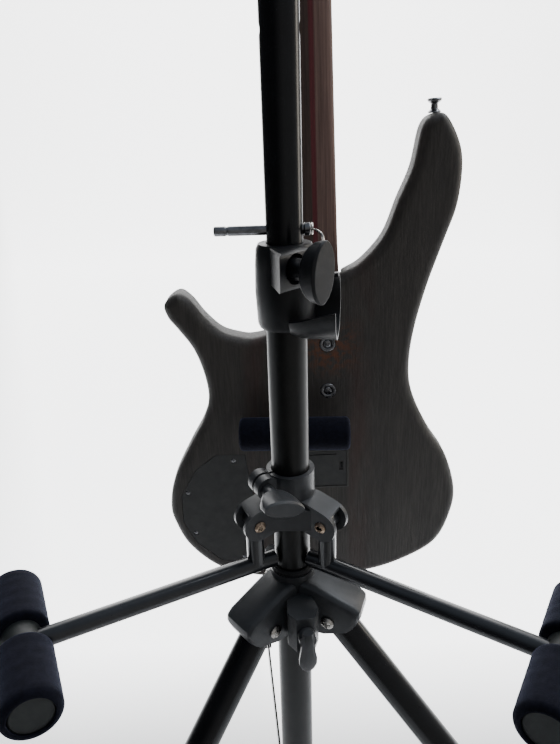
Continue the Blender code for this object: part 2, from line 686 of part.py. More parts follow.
def make_upper_tube():
    frame = empty("upper_tube_slide", stand, (0, 0, 0))
    bm = bmesh.new()
    pipe(bm, UPPER_BORE_R, UPPER_R, UPPER_TUBE_BOTTOM, UPPER_TUBE_TOP, sides=SLEEVE_SIDES)
    tube = piece("upper_tube", bm, BLACK_PAINT, frame)
    holes = bmesh.new()
    for i in range(3):
        rod(holes, 3.5, -20, 20, at((0, 0, PIN_LEVEL + i * HOLE_PITCH), (1, 0, 0)), 12)
    boolean(tube, holes, "DIFFERENCE")

    pin_frame = empty("safety_pin_slide", frame, (0, 0, PIN_LEVEL))
    along = at((0, 0, 0), (1, 0, 0))
    bm = bmesh.new()
    profile = [(0, -45.5), (2.6, -45.5), (3.2, -44.8), (3.2, -38.2), (2.8, -37.6), (2.8, -36.6), (3.2, -36)]
    profile += [(3.2, 12.6), (4.2, 13), (4.2, 16.5), (0, 16.5)]
    turned(bm, profile, along, 12)
    piece("safety_pin", bm, DARK_CHROME, pin_frame)
    bm = bmesh.new()
    route = [(17.9, -3.2, 0), (20, -8, 0.4), (23.5, -12, -2), (24, -16, -6), (23, -19, -10), (21, -20, -14)]
    swept(bm, smooth_line(route, 3, closed=False), 0.75, 6)
    lanyard = piece("pin_lanyard", bm, STEEL, pin_frame)
    eye = bmesh.new()
    ring = []
    for k in range(12):
        a = math.tau * k / 12
        ring.append((17.9, 3.2 * math.cos(a), 3.2 * math.sin(a)))
    rings = []
    for k, point in enumerate(ring):
        out = Vector((0, point[1], point[2])).normalized()
        section = []
        for j in range(6):
            b = math.tau * j / 6
            aside = math.cos(b) * out + math.sin(b) * Vector((1, 0, 0))
            section.append(eye.verts.new(Vector(point) + 0.8 * aside))
        rings.append(section)
    bridge(eye, rings, closed=True)
    boolean(lanyard, eye, "UNION")


# ---------------------------------------------------------------- yoke head on top

YOKE_HALF = 41.0
YOKE_ROOT = 156.0
PRONG_END = 268.0
ROD_R = 4.0


def make_yokes(upper):
    frame = empty("yoke_frame", upper, (0, 0, YOKE_LEVEL))
    bm = bmesh.new()
    profile = [(UPPER_R + GAP, -42), (17, -42), (19.5, -39), (20.5, -14), (20.5, 10), (18, 16), (10, 19), (0, 20)]
    profile = [(0, -27.7), (UPPER_R + GAP, -27.7)] + profile
    turned(bm, profile, sides=SLEEVE_SIDES)
    head = piece("yoke_head", bm, CASTING, frame)
    holes = bmesh.new()
    for azimuth in YOKE_AZIMUTHS.values():
        rod(holes, ROD_R + GAP, 9.0, 30, spoke(azimuth) @ at((0, 0, 0), (1, 0, 0)), 12)
    boolean(head, holes, "DIFFERENCE")
    for name, azimuth in YOKE_AZIMUTHS.items():
        bm = bmesh.new()
        path = [(PRONG_END, YOKE_HALF, 0), (YOKE_ROOT + YOKE_HALF, YOKE_HALF, 0)]
        bend = arc((YOKE_ROOT + YOKE_HALF, 0), YOKE_HALF, 90, 270, 8)
        path += [(x, y, 0) for x, y in bend[1:-1]]
        path += [(YOKE_ROOT + YOKE_HALF, -YOKE_HALF, 0), (PRONG_END, -YOKE_HALF, 0)]
        swept(bm, path, ROD_R, 8)
        axis = empty(f"yoke_{name}_axis", frame, turn=Matrix.Rotation(math.radians(azimuth), 3, "Z"))
        fork = piece(f"yoke_{name}", bm, BLACK_PAINT, axis)
        stem = bmesh.new()
        rod(stem, ROD_R, 9.5, YOKE_ROOT + 1, at((0, 0, 0), (1, 0, 0)), 8)
        boolean(fork, stem, "UNION")
        sleeves = bmesh.new()
        for side in (-1, 1):
            profile = [(0, 204), (7.2, 204), (8.0, 205), (8.0, PRONG_END), (7, PRONG_END + 3), (0, PRONG_END + 4)]
            turned(sleeves, profile, at((0, side * YOKE_HALF, 0), (1, 0, 0)), 12)
        boolean(fork, sleeves, "UNION")


# ---------------------------------------------------------------- guitar

BODY_OUTLINE = [
    (129, 324.5), (117, 314), (109, 277), (96, 246), (82, 211), (59, 185), (38, 173), (18, 157), (-2, 139),
    (-22, 122), (-42, 110), (-61, 106), (-74, 108), (-93, 115), (-110, 132), (-124, 152), (-137, 160),
    (-152, 149), (-150, 134), (-140, 119), (-126, 96), (-117, 65), (-115, 35), (-124, 7), (-142, -24),
    (-165, -68), (-174, -104), (-172, -130), (-157, -168), (-122, -204), (-74, -221), (-6, -228),
    (73, -219), (126, -198), (157, -173), (172, -133), (174, -98), (161, -53), (140, -18), (119, 28),
    (113, 63), (117, 107), (129, 157), (144, 203), (156, 242), (157, 287), (142, 320),
]
COVER_OUTLINE = [
    (-78, -36), (-112, -35), (-138, -55), (-158, -90), (-160, -128), (-146, -160), (-118, -188), (-82, -196),
    (-72, -176), (-76, -140), (-72, -90),
]
LID = (-16.0, 42.0, -84.0, -36.5)  # left, right, bottom, top
NECK_SCREWS = [(x, y) for x in (-21.4, 21.4) for y in (42, 98)]
COVER_SCREWS = [(-92, -44), (-150, -86), (-146, -145), (-88, -185)]
KNOBS = {"volume": (-78, -80), "balance": (-105, -115), "tone": (-128, -150)}
KEY_Y = [758, 806, 854]


def neck_half(y):
    return 39.0 - (y - 46) * 10.0 / (NUT_Y - 46)


def inset(points, distance):
    """Each corner of a counter-clockwise outline moved inwards by the distance."""
    count = len(points)
    moved = []
    for i, point in enumerate(points):
        before = (point - points[i - 1]).normalized()
        after = (points[(i + 1) % count] - point).normalized()
        along = (before + after).normalized()
        moved.append(point + Vector((-along.y, along.x)) * distance)
    return moved


def make_body(guitar):
    outline = [Vector(p) for p in BODY_OUTLINE]
    bm = bmesh.new()
    sections = []
    steps = 3
    for i in range(steps + 1):
        a = math.radians(90 * i / steps)
        ring = inset(outline, BODY_ROUND * (1 - math.sin(a)))
        sections.append([(p.x, p.y, -BODY_ROUND * (1 - math.cos(a))) for p in ring])
    for i in range(steps, -1, -1):
        a = math.radians(90 * i / steps)
        ring = inset(outline, BODY_ROUND * (1 - math.sin(a)))
        sections.append([(p.x, p.y, -BODY_THICK + BODY_ROUND * (1 - math.cos(a))) for p in ring])
    lofted(bm, sections)
    body = piece("guitar_body", bm, BODY_WOOD, guitar)

    pocket = bmesh.new()
    half = neck_half(HEEL_END) + GAP
    low = HEEL_END - GAP
    prism(pocket, [(-half, low), (half, low), (half, 230), (-half, 230)], -BODY_THICK - 1, -19)
    boolean(body, pocket, "DIFFERENCE")
    pockets = bmesh.new()
    for y in PICKUPS.values():
        w, h = PICKUP_HALF_W + 0.5, PICKUP_HALF_H + 0.5
        prism(pockets, [(-w, y - h), (w, y - h), (w, y + h), (-w, y + h)], -BODY_THICK - 1, -BODY_THICK + 10)
    left, right, bottom, top = LID
    lid = [(left - GAP, bottom - GAP), (right + GAP, bottom - GAP)]
    lid += [(right + GAP, top + GAP), (left - GAP, top + GAP)]
    prism(pockets, lid, -3.0, 1)
    cover = inset([Vector(p) for p in COVER_OUTLINE], -GAP)
    prism(pockets, [(p.x, p.y) for p in cover], -2.6, 1)
    for x, y in NECK_SCREWS:
        rod(pockets, 9.3, -3.0, 1, Matrix.Translation((x, y, 0)), 12)
    boolean(body, pockets, "DIFFERENCE")
    cavities = bmesh.new()
    cell = [(left + 4, bottom + 12), (right - 5, bottom + 12), (right - 5, top - 4), (left + 4, top - 4)]
    prism(cavities, cell, -23, -2)
    cavity = inset([Vector(p) for p in COVER_OUTLINE], 13)
    prism(cavities, [(p.x, p.y) for p in cavity], -31, -2)
    boolean(body, cavities, "DIFFERENCE")
    shafts = bmesh.new()
    for x, y in KNOBS.values():
        rod(shafts, 3.6, -BODY_THICK - 1, -28, Matrix.Translation((x, y, 0)), 12)
    boolean(body, shafts, "DIFFERENCE")


PICKUPS = {"neck": -12.0, "bridge": -112.0}
PICKUP_HALF_W = 50.0
PICKUP_HALF_H = 16.0


def neck_section(y, half, back, corner):
    """The neck's cross-section at y: flat face, full sides, rounded back."""
    shoulder = NECK_FACE + (back - NECK_FACE) * corner
    points = [(-half, y, NECK_FACE), (half, y, NECK_FACE), (half, y, NECK_FACE + (shoulder - NECK_FACE) * 0.6)]
    for k in range(1, 8):
        a = math.pi * k / 8
        points.append((half * math.cos(a), y, shoulder + (back - shoulder) * math.sin(a) ** 0.7))
    points.append((-half, y, NECK_FACE + (shoulder - NECK_FACE) * 0.6))
    return points


HEAD_HALF = [
    (NUT_Y + 5, 29.0), (NUT_Y + 19, 30.5), (NUT_Y + 40, 44), (NUT_Y + 60, 50), (NUT_Y + 120, 48),
    (NUT_Y + 175, 43), (HEAD_TOP - 12, 34), (HEAD_TOP, 16),
]


def make_neck(guitar):
    bm = bmesh.new()
    sections = [neck_section(HEEL_END, neck_half(HEEL_END), -19.3, 0.85)]
    sections.append(neck_section(150, neck_half(150), -19.3, 0.85))
    sections.append(neck_section(182, neck_half(182), -22.5, 0.55))
    sections.append(neck_section(215, neck_half(215), NECK_BACK, 0.3))
    for y in (330, 450, 570, NUT_Y - 40):
        sections.append(neck_section(y, neck_half(y), NECK_BACK + (y - 215) / 260, 0.3))
    sections.append(neck_section(NUT_Y - 8, neck_half(NUT_Y), -24.4, 0.3))
    for y, half in HEAD_HALF:
        sections.append(neck_section(y, half, -25.2, 0.9))
    lofted(bm, sections)
    neck = piece("neck", bm, NECK_WOOD, guitar)
    tuners = bmesh.new()
    posts = bmesh.new()
    for side in (-1, 1):
        for y in KEY_Y:
            place = Matrix.Translation((side * 30, y, 0))
            prism(tuners, [(-10, -9), (10, -9), (10, 9), (-10, 9)], -27, -13, place)
            rod(posts, 5.0, -56, -30, place, 12)
    boolean(neck, tuners, "UNION")
    boolean(neck, posts, "UNION")

    bm = bmesh.new()
    sections = []
    for y in (HEEL_END + 4, NUT_Y - 0.2):
        half = neck_half(y)
        low = NECK_FACE - GAP
        face = BOARD_FACE + 0.6
        sections.append([(-half, y, low), (half, y, low), (half, y, face), (-half, y, face)])
    lofted(bm, sections)
    fretboard = piece("fretboard", bm, BOARD_WOOD, guitar)

    frets = bmesh.new()
    scale = NUT_Y - SADDLE_Y
    for n in range(1, FRETS + 1):
        y = SADDLE_Y + scale * 2 ** (-n / 12)
        half = neck_half(y) - 1.0
        sections = []
        for x, drop in ((-half, 0.6), (half, 0.6)):
            low = BOARD_FACE + drop + 0.4
            sections.append([(x, y - 1.3, low), (x, y + 1.3, low), (x, y, low - 1.6)])
        lofted(frets, sections)
    boolean(fretboard, frets, "UNION")

    bm = bmesh.new()
    half = neck_half(NUT_Y)
    prism(bm, [(-half, NUT_Y), (half, NUT_Y), (half, NUT_Y + 4.5), (-half, NUT_Y + 4.5)], -50.0, NECK_FACE - GAP)
    return piece("nut_and_strings", bm, BONE, guitar)


def string_lane(i):
    """A string's distance from the centre line, as a share of the half width."""
    return (i - (STRINGS - 1) / 2) / ((STRINGS - 1) / 2)


def make_strings(guitar, nut):
    strings = bmesh.new()
    for i in range(STRINGS):
        lane = string_lane(i)
        side = -1 if i < STRINGS / 2 else 1
        post_y = KEY_Y[i] if i < STRINGS / 2 else KEY_Y[STRINGS - 1 - i]
        gauge = 1.3 - 0.16 * i
        path = [(lane * 45, SADDLE_Y - 20, -53.2), (lane * 45, SADDLE_Y, -53.4)]
        path += [(lane * 23.5, NUT_Y + 2, -50.2), (side * 25, post_y - 3, -48.2)]
        swept(strings, path, gauge, 6)
    boolean(nut, strings, "UNION")

    face = -BODY_THICK - GAP
    bm = bmesh.new()
    half = 45 + 9
    low, high = SADDLE_Y - 40, SADDLE_Y + 20
    prism(bm, [(-half, low), (half, low), (half, high), (-half, high)], face - 3, face)
    plate = piece("bridge", bm, DARK_CHROME, guitar)
    blocks = bmesh.new()
    inside = face - 1.5
    profile = [(SADDLE_Y - 38, inside), (SADDLE_Y - 38, -50.5), (SADDLE_Y - 24, -50.5), (SADDLE_Y - 20, -46)]
    profile += [(SADDLE_Y - 6, -46), (SADDLE_Y - 6, -51.6), (SADDLE_Y + 3, -51.6), (SADDLE_Y + 5, inside)]
    turn = Matrix(((0, 0, 1), (1, 0, 0), (0, 1, 0))).to_4x4()
    for i in range(STRINGS):
        prism(blocks, profile, -7.8, 7.8, Matrix.Translation((string_lane(i) * 45, 0, 0)) @ turn)
    boolean(plate, blocks, "UNION")


def make_fittings(guitar):
    for name, y in PICKUPS.items():
        bm = bmesh.new()
        w, h = PICKUP_HALF_W, PICKUP_HALF_H
        prism(bm, [(-w, y - h), (w, y - h), (w, y + h), (-w, y + h)], -44.0, -BODY_THICK + 9.5)
        pickup = piece(f"pickup_{name}", bm, CASTING, guitar)
        rounded(pickup, 1.5)

    bm = bmesh.new()
    prism(bm, COVER_OUTLINE, -2.3, -0.1)
    cover = piece("control_cover", bm, COVER_PLASTIC, guitar)
    holes = bmesh.new()
    for x, y in COVER_SCREWS:
        rod(holes, 3.2, -1.6, 1, Matrix.Translation((x, y, 0)), 12)
    boolean(cover, holes, "DIFFERENCE")

    left, right, bottom, top = LID
    hinge = empty("battery_lid_hinge", guitar, (left, (bottom + top) / 2, -0.2))
    bm = bmesh.new()
    high = (top - bottom) / 2
    prism(bm, [(0.2, -high), (right - left, -high), (right - left, high), (0.2, high)], -2.2, 0.0)
    piece("battery_lid", bm, COVER_PLASTIC, hinge)

    bm = bmesh.new()
    middle = -BODY_THICK / 2
    buttons = {"horn": ((130, 325.0, middle), (-0.03, 1, 0)), "tail": ((-6, -229.5, middle), (0, -1, 0))}
    for name, (place, direction) in buttons.items():
        bm = bmesh.new()
        profile = [(0, 0), (6.2, 0), (6.2, 1.2), (3.6, 3.5), (3.4, 8)]
        profile += [(6.6, 10.5), (7.0, 12), (6.2, 13.2), (0, 13.6)]
        turned(bm, profile, at(place, direction), 12)
        piece(f"strap_button_{name}", bm, DARK_CHROME, guitar)

    for name, (x, y) in KNOBS.items():
        axis = empty(f"knob_{name}_axis", guitar, (x, y, -BODY_THICK), Matrix.Rotation(math.pi, 3, "X"))
        bm = bmesh.new()
        profile = [(0, -8), (3.2, -8), (3.2, 0.4), (9.0, 0.4), (8.6, 13.5), (7.4, 15), (0, 15)]
        turned(bm, profile, sides=20)
        piece(f"knob_{name}", bm, DARK_CHROME, axis)

    for side, label in ((-1, "left"), (1, "right")):
        for n, y in enumerate(KEY_Y):
            place = (side * 43.5, y, -18.5)
            turn = facing((side, 0, 0), (0, 1, 0))
            axis = empty(f"tuner_key_{label}_{n + 1}_axis", guitar, place, turn)
            bm = bmesh.new()
            stations = [(0, 2.4, 2.4), (10, 2.4, 2.4), (12, 5, 2.4)]
            stations += [(19, 10.5, 3.0), (26, 10.5, 2.6), (31, 7, 2.0)]
            sections = []
            for z, half_y, half_z in stations:
                ring = []
                for k in range(10):
                    a = math.tau * k / 10
                    ring.append((half_z * math.cos(a), half_y * math.sin(a), z))
                sections.append(ring)
            lofted(bm, sections)
            piece(f"tuner_key_{label}_{n + 1}", bm, DARK_CHROME, axis)


def make_guitar():
    turn = Matrix.Rotation(math.radians(90 + GUITAR_LEAN), 3, "X") @ Matrix.Rotation(
        math.radians(GUITAR_TILT), 3, "Z"
    )
    guitar = empty("guitar", stand, (GUITAR_X, GUITAR_Y, GUITAR_Z), turn)
    make_body(guitar)
    nut = make_neck(guitar)
    make_strings(guitar, nut)
    make_fittings(guitar)


make_column()
make_head()
for side, azimuth in LEG_AZIMUTHS.items():
    make_leg(side, azimuth)
    make_brace(side, azimuth)
make_hub()
for side, azimuth in ARM_AZIMUTHS.items():
    make_arm(side, azimuth)
make_clutch()
make_upper_tube()
make_yokes(bpy.data.objects["upper_tube_slide"])
make_guitar()
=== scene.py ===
"""Looks of the bass guitar on its folding stand.

Every visible piece is made again, finer than in the CAD frame.

Sizes are in millimetres and repeat the CAD's own dimensions; meshes are scaled to metres when they are made.
"""

import json
import math

import bmesh
import bpy
from mathutils import Matrix, Vector

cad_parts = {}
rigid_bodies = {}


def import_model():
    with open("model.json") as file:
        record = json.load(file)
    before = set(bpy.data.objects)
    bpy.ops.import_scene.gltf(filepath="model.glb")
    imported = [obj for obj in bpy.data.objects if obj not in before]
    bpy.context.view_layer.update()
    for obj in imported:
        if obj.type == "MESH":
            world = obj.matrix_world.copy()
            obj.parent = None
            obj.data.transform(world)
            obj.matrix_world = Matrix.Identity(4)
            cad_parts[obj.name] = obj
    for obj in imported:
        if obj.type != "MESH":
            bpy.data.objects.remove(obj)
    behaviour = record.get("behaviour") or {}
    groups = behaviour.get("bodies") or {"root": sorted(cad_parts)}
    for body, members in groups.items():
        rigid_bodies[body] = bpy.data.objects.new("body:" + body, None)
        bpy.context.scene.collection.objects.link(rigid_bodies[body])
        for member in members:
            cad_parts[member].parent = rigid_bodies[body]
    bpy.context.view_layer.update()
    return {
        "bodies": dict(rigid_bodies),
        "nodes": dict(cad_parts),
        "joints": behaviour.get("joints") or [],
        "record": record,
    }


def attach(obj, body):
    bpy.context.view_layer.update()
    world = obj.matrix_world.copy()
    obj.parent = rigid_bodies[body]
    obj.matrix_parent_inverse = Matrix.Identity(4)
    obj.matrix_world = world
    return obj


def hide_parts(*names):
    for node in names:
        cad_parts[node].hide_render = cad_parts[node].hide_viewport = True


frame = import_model()

MM = 0.001
GAP = 0.3  # air between neighbouring pieces
CUT = 1.0  # how far a cutter runs past the face it cuts
SLEEVE_SIDES = 64  # facets of the column and of the sleeves around it

# Heights above the floor
ARM_LEVEL = 560.0
COLUMN_BOTTOM = 44.0
COLUMN_TOP = ARM_LEVEL + 236.0
UPPER_TUBE_BOTTOM = ARM_LEVEL - 30.0
UPPER_TUBE_TOP = ARM_LEVEL + 672.0
YOKE_LEVEL = ARM_LEVEL + 700.0
PIN_LEVEL = ARM_LEVEL + 251.5
HOLE_PITCH = 113.5

# Tubes
COLUMN_R = 14.0
COLUMN_BORE_R = 12.5
UPPER_R = 12.0
UPPER_BORE_R = 10.5
LEG_R = 12.0
LEG_BORE_R = 10.5
ARM_R = 6.75
SLEEVE_BORE_R = 14.5

# Tripod
LEG_AZIMUTHS = {"left": 220.0, "right": 340.0, "rear": 100.0}
LEG_ANGLE = 38.6  # from the vertical
LEG_PIVOT_R = 33.0
LEG_PIVOT_Z = ARM_LEVEL - 49.6
LEG_ABOVE_PIVOT = 6.0
FOOT_BALL_R = 17.0
FOOT_BALL_Z = 15.0
LUG_ALONG = 267.0
LUG_OFFSET = 26.0
BRACE_PIVOT_R = 29.0
BRACE_PIVOT_Z = ARM_LEVEL - 502.0
BRACE_END_R = 6.0
LEG_LENGTH = (LEG_PIVOT_Z - FOOT_BALL_Z) / math.cos(math.radians(LEG_ANGLE))
FOOT_RING = LEG_PIVOT_R + LEG_LENGTH * math.sin(math.radians(LEG_ANGLE))

# Cradle arms
ARM_AZIMUTHS = {"left": 206.2, "right": 326.2, "rear": 87.7}
YOKE_AZIMUTHS = {"left": 206.2, "right": 326.2, "rear": 86.4}
HINGE_R = 31.5
HINGE_Z = 40.0  # above the arms
TEE_R = 201.6
CROSSBAR_HALF = 57.0
TEE_SLEEVE_R = 13.0
TEE_SLEEVE_HALF = 8.5
FOAM_R = 18.7
FOAM_HALF = 60.7
CAP_R = 13.6

# Guitar: x across the body, y up along the strings, z out of the back; z = 0 is the back face
GUITAR_X = 26.8
GUITAR_Y = TEE_R + FOAM_R + 9.5
GUITAR_Z = ARM_LEVEL - 3.6
GUITAR_LEAN = 1.5
GUITAR_TILT = 0.98
BODY_THICK = 38.0
BODY_ROUND = 11.0
HEEL_END = 30.0
NUT_Y = 694.0
SADDLE_Y = -170.0
FRETS = 24
STRINGS = 6
NECK_BACK = -25.0
NECK_FACE = -40.0
BOARD_FACE = -46.0
HEAD_TOP = 905.0

# The box that the feet span is centred on the world's origin
foot_xs = [FOOT_RING * math.cos(math.radians(a)) for a in LEG_AZIMUTHS.values()]
foot_ys = [FOOT_RING * math.sin(math.radians(a)) for a in LEG_AZIMUTHS.values()]
AXIS_X = -(min(foot_xs) + max(foot_xs)) / 2
AXIS_Y = -(min(foot_ys) + max(foot_ys)) / 2


# ---------------------------------------------------------------- materials


def node_material(name, roughness, metallic=0.0, coat=0.0, specular=0.5, sheen=0.0):
    made = bpy.data.materials.new(name)
    made.use_nodes = True
    shader = made.node_tree.nodes["Principled BSDF"]
    shader.inputs["Roughness"].default_value = roughness
    shader.inputs["Metallic"].default_value = metallic
    shader.inputs["Coat Weight"].default_value = coat
    shader.inputs["Coat Roughness"].default_value = 0.12
    shader.inputs["Specular IOR Level"].default_value = specular
    shader.inputs["Sheen Weight"].default_value = sheen
    shader.inputs["Sheen Roughness"].default_value = 0.4
    return made, made.node_tree, shader


def noise(tree, scale, detail=4.0, roughness=0.55, vector=None):
    """Noise in metres of the object's own space; scale is features per metre."""
    node = tree.nodes.new("ShaderNodeTexNoise")
    node.inputs["Scale"].default_value = scale
    node.inputs["Detail"].default_value = detail
    node.inputs["Roughness"].default_value = roughness
    if vector is None:
        vector = tree.nodes.new("ShaderNodeTexCoord").outputs["Object"]
    tree.links.new(vector, node.inputs["Vector"])
    return node.outputs["Fac"]


def ramp(tree, value, stops):
    node = tree.nodes.new("ShaderNodeValToRGB")
    elements = node.color_ramp.elements
    while len(elements) < len(stops):
        elements.new(0.5)
    for element, (position, colour) in zip(elements, stops):
        element.position = position
        element.color = (*colour, 1.0) if len(colour) == 3 else colour
    tree.links.new(value, node.inputs["Fac"])
    return node.outputs["Color"]


def grey(level):
    return (level, level, level)


def mixed(tree, factor, first, second, blend="MIX"):
    node = tree.nodes.new("ShaderNodeMix")
    node.data_type = "RGBA"
    node.blend_type = blend
    for socket, value in ((node.inputs["Factor"], factor), (node.inputs["A"], first),
        (node.inputs["B"], second)):
        if isinstance(value, (int, float)):
            socket.default_value = value
        elif isinstance(value, tuple):
            socket.default_value = (*value, 1.0)
        else:
            tree.links.new(value, socket)
    return node.outputs["Result"]


def bumped(tree, shader, height, strength, distance, below=None):
    node = tree.nodes.new("ShaderNodeBump")
    node.inputs["Strength"].default_value = strength
    node.inputs["Distance"].default_value = distance
    tree.links.new(height, node.inputs["Height"])
    if below is not None:
        tree.links.new(below, node.inputs["Normal"])
    tree.links.new(node.outputs["Normal"], shader.inputs["Normal"])
    return node.outputs["Normal"]


def paint(name, base, lighter, roughness, coat):
    """Powder coat: orange peel, dust and faint handling marks."""
    made, tree, shader = node_material(name, roughness, coat=coat, specular=0.3)
    cloud = noise(tree, 60, 5)
    colour = ramp(tree, cloud, [(0.35, base), (0.7, lighter)])
    dust = ramp(tree, noise(tree, 900, 2), [(0.70, grey(0)), (0.78, grey(0.35))])
    colour = mixed(tree, dust, colour, (0.04, 0.04, 0.038))
    tree.links.new(colour, shader.inputs["Base Color"])
    rough = ramp(tree, noise(tree, 160, 6),
        [(0.3, grey(roughness * 0.9)), (0.75, grey(roughness * 1.15))])
    tree.links.new(rough, shader.inputs["Roughness"])
    bumped(tree, shader, noise(tree, 1100, 2), 0.12, 0.0002)
    return made


def plastic(name, base, lighter, roughness, grain=0.35, scale=1800, wear=(0.05, 0.055, 0.065)):
    """Moulded plastic: fine spark grain, cloudy tone, rubbed patches."""
    made, tree, shader = node_material(name, roughness, specular=0.38)
    colour = ramp(tree, noise(tree, 90, 6), [(0.3, base), (0.75, lighter)])
    rub = ramp(tree, noise(tree, 420, 5, 0.7), [(0.66, grey(0)), (0.74, grey(0.5))])
    colour = mixed(tree, rub, colour, wear)
    tree.links.new(colour, shader.inputs["Base Color"])
    rough = ramp(tree, noise(tree, 240, 6),
        [(0.3, grey(roughness * 0.88)), (0.8, grey(roughness * 1.15))])
    tree.links.new(rough, shader.inputs["Roughness"])
    bumped(tree, shader, noise(tree, scale, 3), grain, 0.0003)
    return made


def metal(name, base, darker, roughness):
    made, tree, shader = node_material(name, roughness, metallic=1.0)
    colour = ramp(tree, noise(tree, 140, 6), [(0.35, darker), (0.65, base)])
    tree.links.new(colour, shader.inputs["Base Color"])
    rough = ramp(tree, noise(tree, 400, 4), [(0.3, grey(roughness * 0.7)), (0.8, grey(roughness * 1.5))])
    tree.links.new(rough, shader.inputs["Roughness"])
    bumped(tree, shader, noise(tree, 2600, 2), 0.08, 0.0002)
    return made


def foam_material():
    """Closed-cell foam with a velvety skin: soft cells, lint and a low sheen."""
    made, tree, shader = node_material("foam", 0.95, specular=0.15, sheen=0.25)
    shader.inputs["Sheen Tint"].default_value = (0.35, 0.38, 0.6, 1.0)
    colour = ramp(tree, noise(tree, 260, 6),
        [(0.35, (0.0025, 0.0027, 0.006)), (0.75, (0.006, 0.0065, 0.013))])
    lint = ramp(tree, noise(tree, 1400, 1), [(0.76, grey(0)), (0.82, grey(0.5))])
    colour = mixed(tree, lint, colour, (0.05, 0.05, 0.06))
    tree.links.new(colour, shader.inputs["Base Color"])
    cells = bumped(tree, shader, noise(tree, 1500, 3, 0.7), 0.6, 0.0005)
    bumped(tree, shader, noise(tree, 70, 3), 0.12, 0.002, cells)
    return made


def guitar_space(tree):
    """The guitar's own coordinates: x across, y along the strings, z out of the back."""
    mapping = tree.nodes.new("ShaderNodeMapping")
    mapping.vector_type = "TEXTURE"
    mapping.inputs["Location"].default_value = GUITAR_WORLD.translation
    mapping.inputs["Rotation"].default_value = GUITAR_WORLD.to_euler()
    tree.links.new(tree.nodes.new("ShaderNodeTexCoord").outputs["Object"], mapping.inputs["Vector"])
    split = tree.nodes.new("ShaderNodeSeparateXYZ")
    tree.links.new(mapping.outputs["Vector"], split.inputs["Vector"])
    return mapping.outputs["Vector"], split


def stretched(tree, vector, along=0.04):
    """Coordinates squeezed along the grain."""
    node = tree.nodes.new("ShaderNodeVectorMath")
    node.operation = "MULTIPLY"
    node.inputs[1].default_value = (1.0, along, 1.0)
    tree.links.new(vector, node.inputs[0])
    return node.outputs["Vector"]


def maths(tree, operation, first, second=None, third=0.5):
    node = tree.nodes.new("ShaderNodeMath")
    node.operation = operation
    for socket, value in zip(node.inputs, (first, second, third)):
        if value is None:
            continue
        if isinstance(value, (int, float)):
            socket.default_value = value
        else:
            tree.links.new(value, socket)
    return node.outputs["Value"]


def band(tree, value, centre, half, soft):
    """One inside centre ± half, falling to zero over soft; all in metres."""
    distance = maths(tree, "ABSOLUTE", maths(tree, "SUBTRACT", value, centre))
    edge = maths(tree, "DIVIDE", maths(tree, "SUBTRACT", half + soft, distance), soft)
    return maths(tree, "MINIMUM", maths(tree, "MAXIMUM", edge, 0.0), 1.0)


def body_wood_material():
    """Open-pored ash under a thin dark stain, with reddish-brown bands either side of the centre line and
    browner by the heel.
    """
    made, tree, shader = node_material("stained_wood", 0.5, specular=0.35)
    vector, split = guitar_space(tree)
    across = split.outputs["X"]
    along = split.outputs["Y"]
    figure = noise(tree, 55, 7, 0.6, stretched(tree, vector, 0.09))
    colour = ramp(tree, figure, [(0.25, (0.034, 0.030, 0.0265)), (0.5, (0.050, 0.044, 0.0385)),
        (0.75, (0.066, 0.058, 0.050))])
    fine = noise(tree, 520, 4, 0.6, stretched(tree, vector, 0.05))
    colour = mixed(tree, ramp(tree, fine, [(0.42, grey(0.4)), (0.6, grey(0))]), colour,
        (0.024, 0.021, 0.018))
    red = maths(tree, "ADD", band(tree, across, 0.058, 0.006, 0.012),
        band(tree, across, -0.058, 0.006, 0.012))
    red = maths(tree, "MULTIPLY", red, ramp(tree, noise(tree, 30, 4, 0.6, stretched(tree, vector, 0.2)),
        [(0.4, grey(0)), (0.65, grey(0.55))]))
    colour = mixed(tree, red, colour, (0.060, 0.026, 0.020))
    heel = maths(tree, "MULTIPLY", band(tree, across, 0.024, 0.008, 0.03),
        band(tree, along, 0.093, 0.008, 0.03))
    heel = maths(tree, "MULTIPLY", heel, ramp(tree, noise(tree, 160, 5, 0.7),
        [(0.42, grey(0)), (0.58, grey(0.9))]))
    colour = mixed(tree, heel, colour, (0.13, 0.045, 0.018))
    tree.links.new(colour, shader.inputs["Base Color"])
    rough = ramp(tree, fine, [(0.3, grey(0.62)), (0.7, grey(0.44))])
    tree.links.new(rough, shader.inputs["Roughness"])
    pores = bumped(tree, shader, noise(tree, 900, 3, 0.6, stretched(tree, vector, 0.045)), 0.55, 0.0005)
    bumped(tree, shader, noise(tree, 40, 3), 0.05, 0.002, pores)
    return made


def neck_wood_material():
    """Laminated neck: brown outer strips with darker red veneers beside the middle strip."""
    made, tree, shader = node_material("neck_wood", 0.42, specular=0.4)
    vector, split = guitar_space(tree)
    across = split.outputs["X"]
    grain = noise(tree, 380, 6, 0.65, stretched(tree, vector, 0.02))
    colour = ramp(tree, grain, [(0.3, (0.075, 0.039, 0.031)), (0.55, (0.15, 0.088, 0.070)),
        (0.75, (0.21, 0.132, 0.104))])
    centre = band(tree, across, 0.0, 0.0125, 0.0006)
    colour = mixed(tree, centre, colour, ramp(tree, grain,
        [(0.3, (0.030, 0.016, 0.012)), (0.7, (0.075, 0.044, 0.034))]))
    for side in (-1, 1):
        stripe = band(tree, across, side * 0.0125, 0.0018, 0.0014)
        colour = mixed(tree, stripe, colour,
            ramp(tree, grain, [(0.3, (0.07, 0.008, 0.011)), (0.7, (0.12, 0.018, 0.022))]))
    tree.links.new(colour, shader.inputs["Base Color"])
    tree.links.new(ramp(tree, grain, [(0.3, grey(0.55)), (0.7, grey(0.36))]), shader.inputs["Roughness"])
    bumped(tree, shader, noise(tree, 1200, 3, 0.6, stretched(tree, vector, 0.03)), 0.4, 0.0003)
    return made


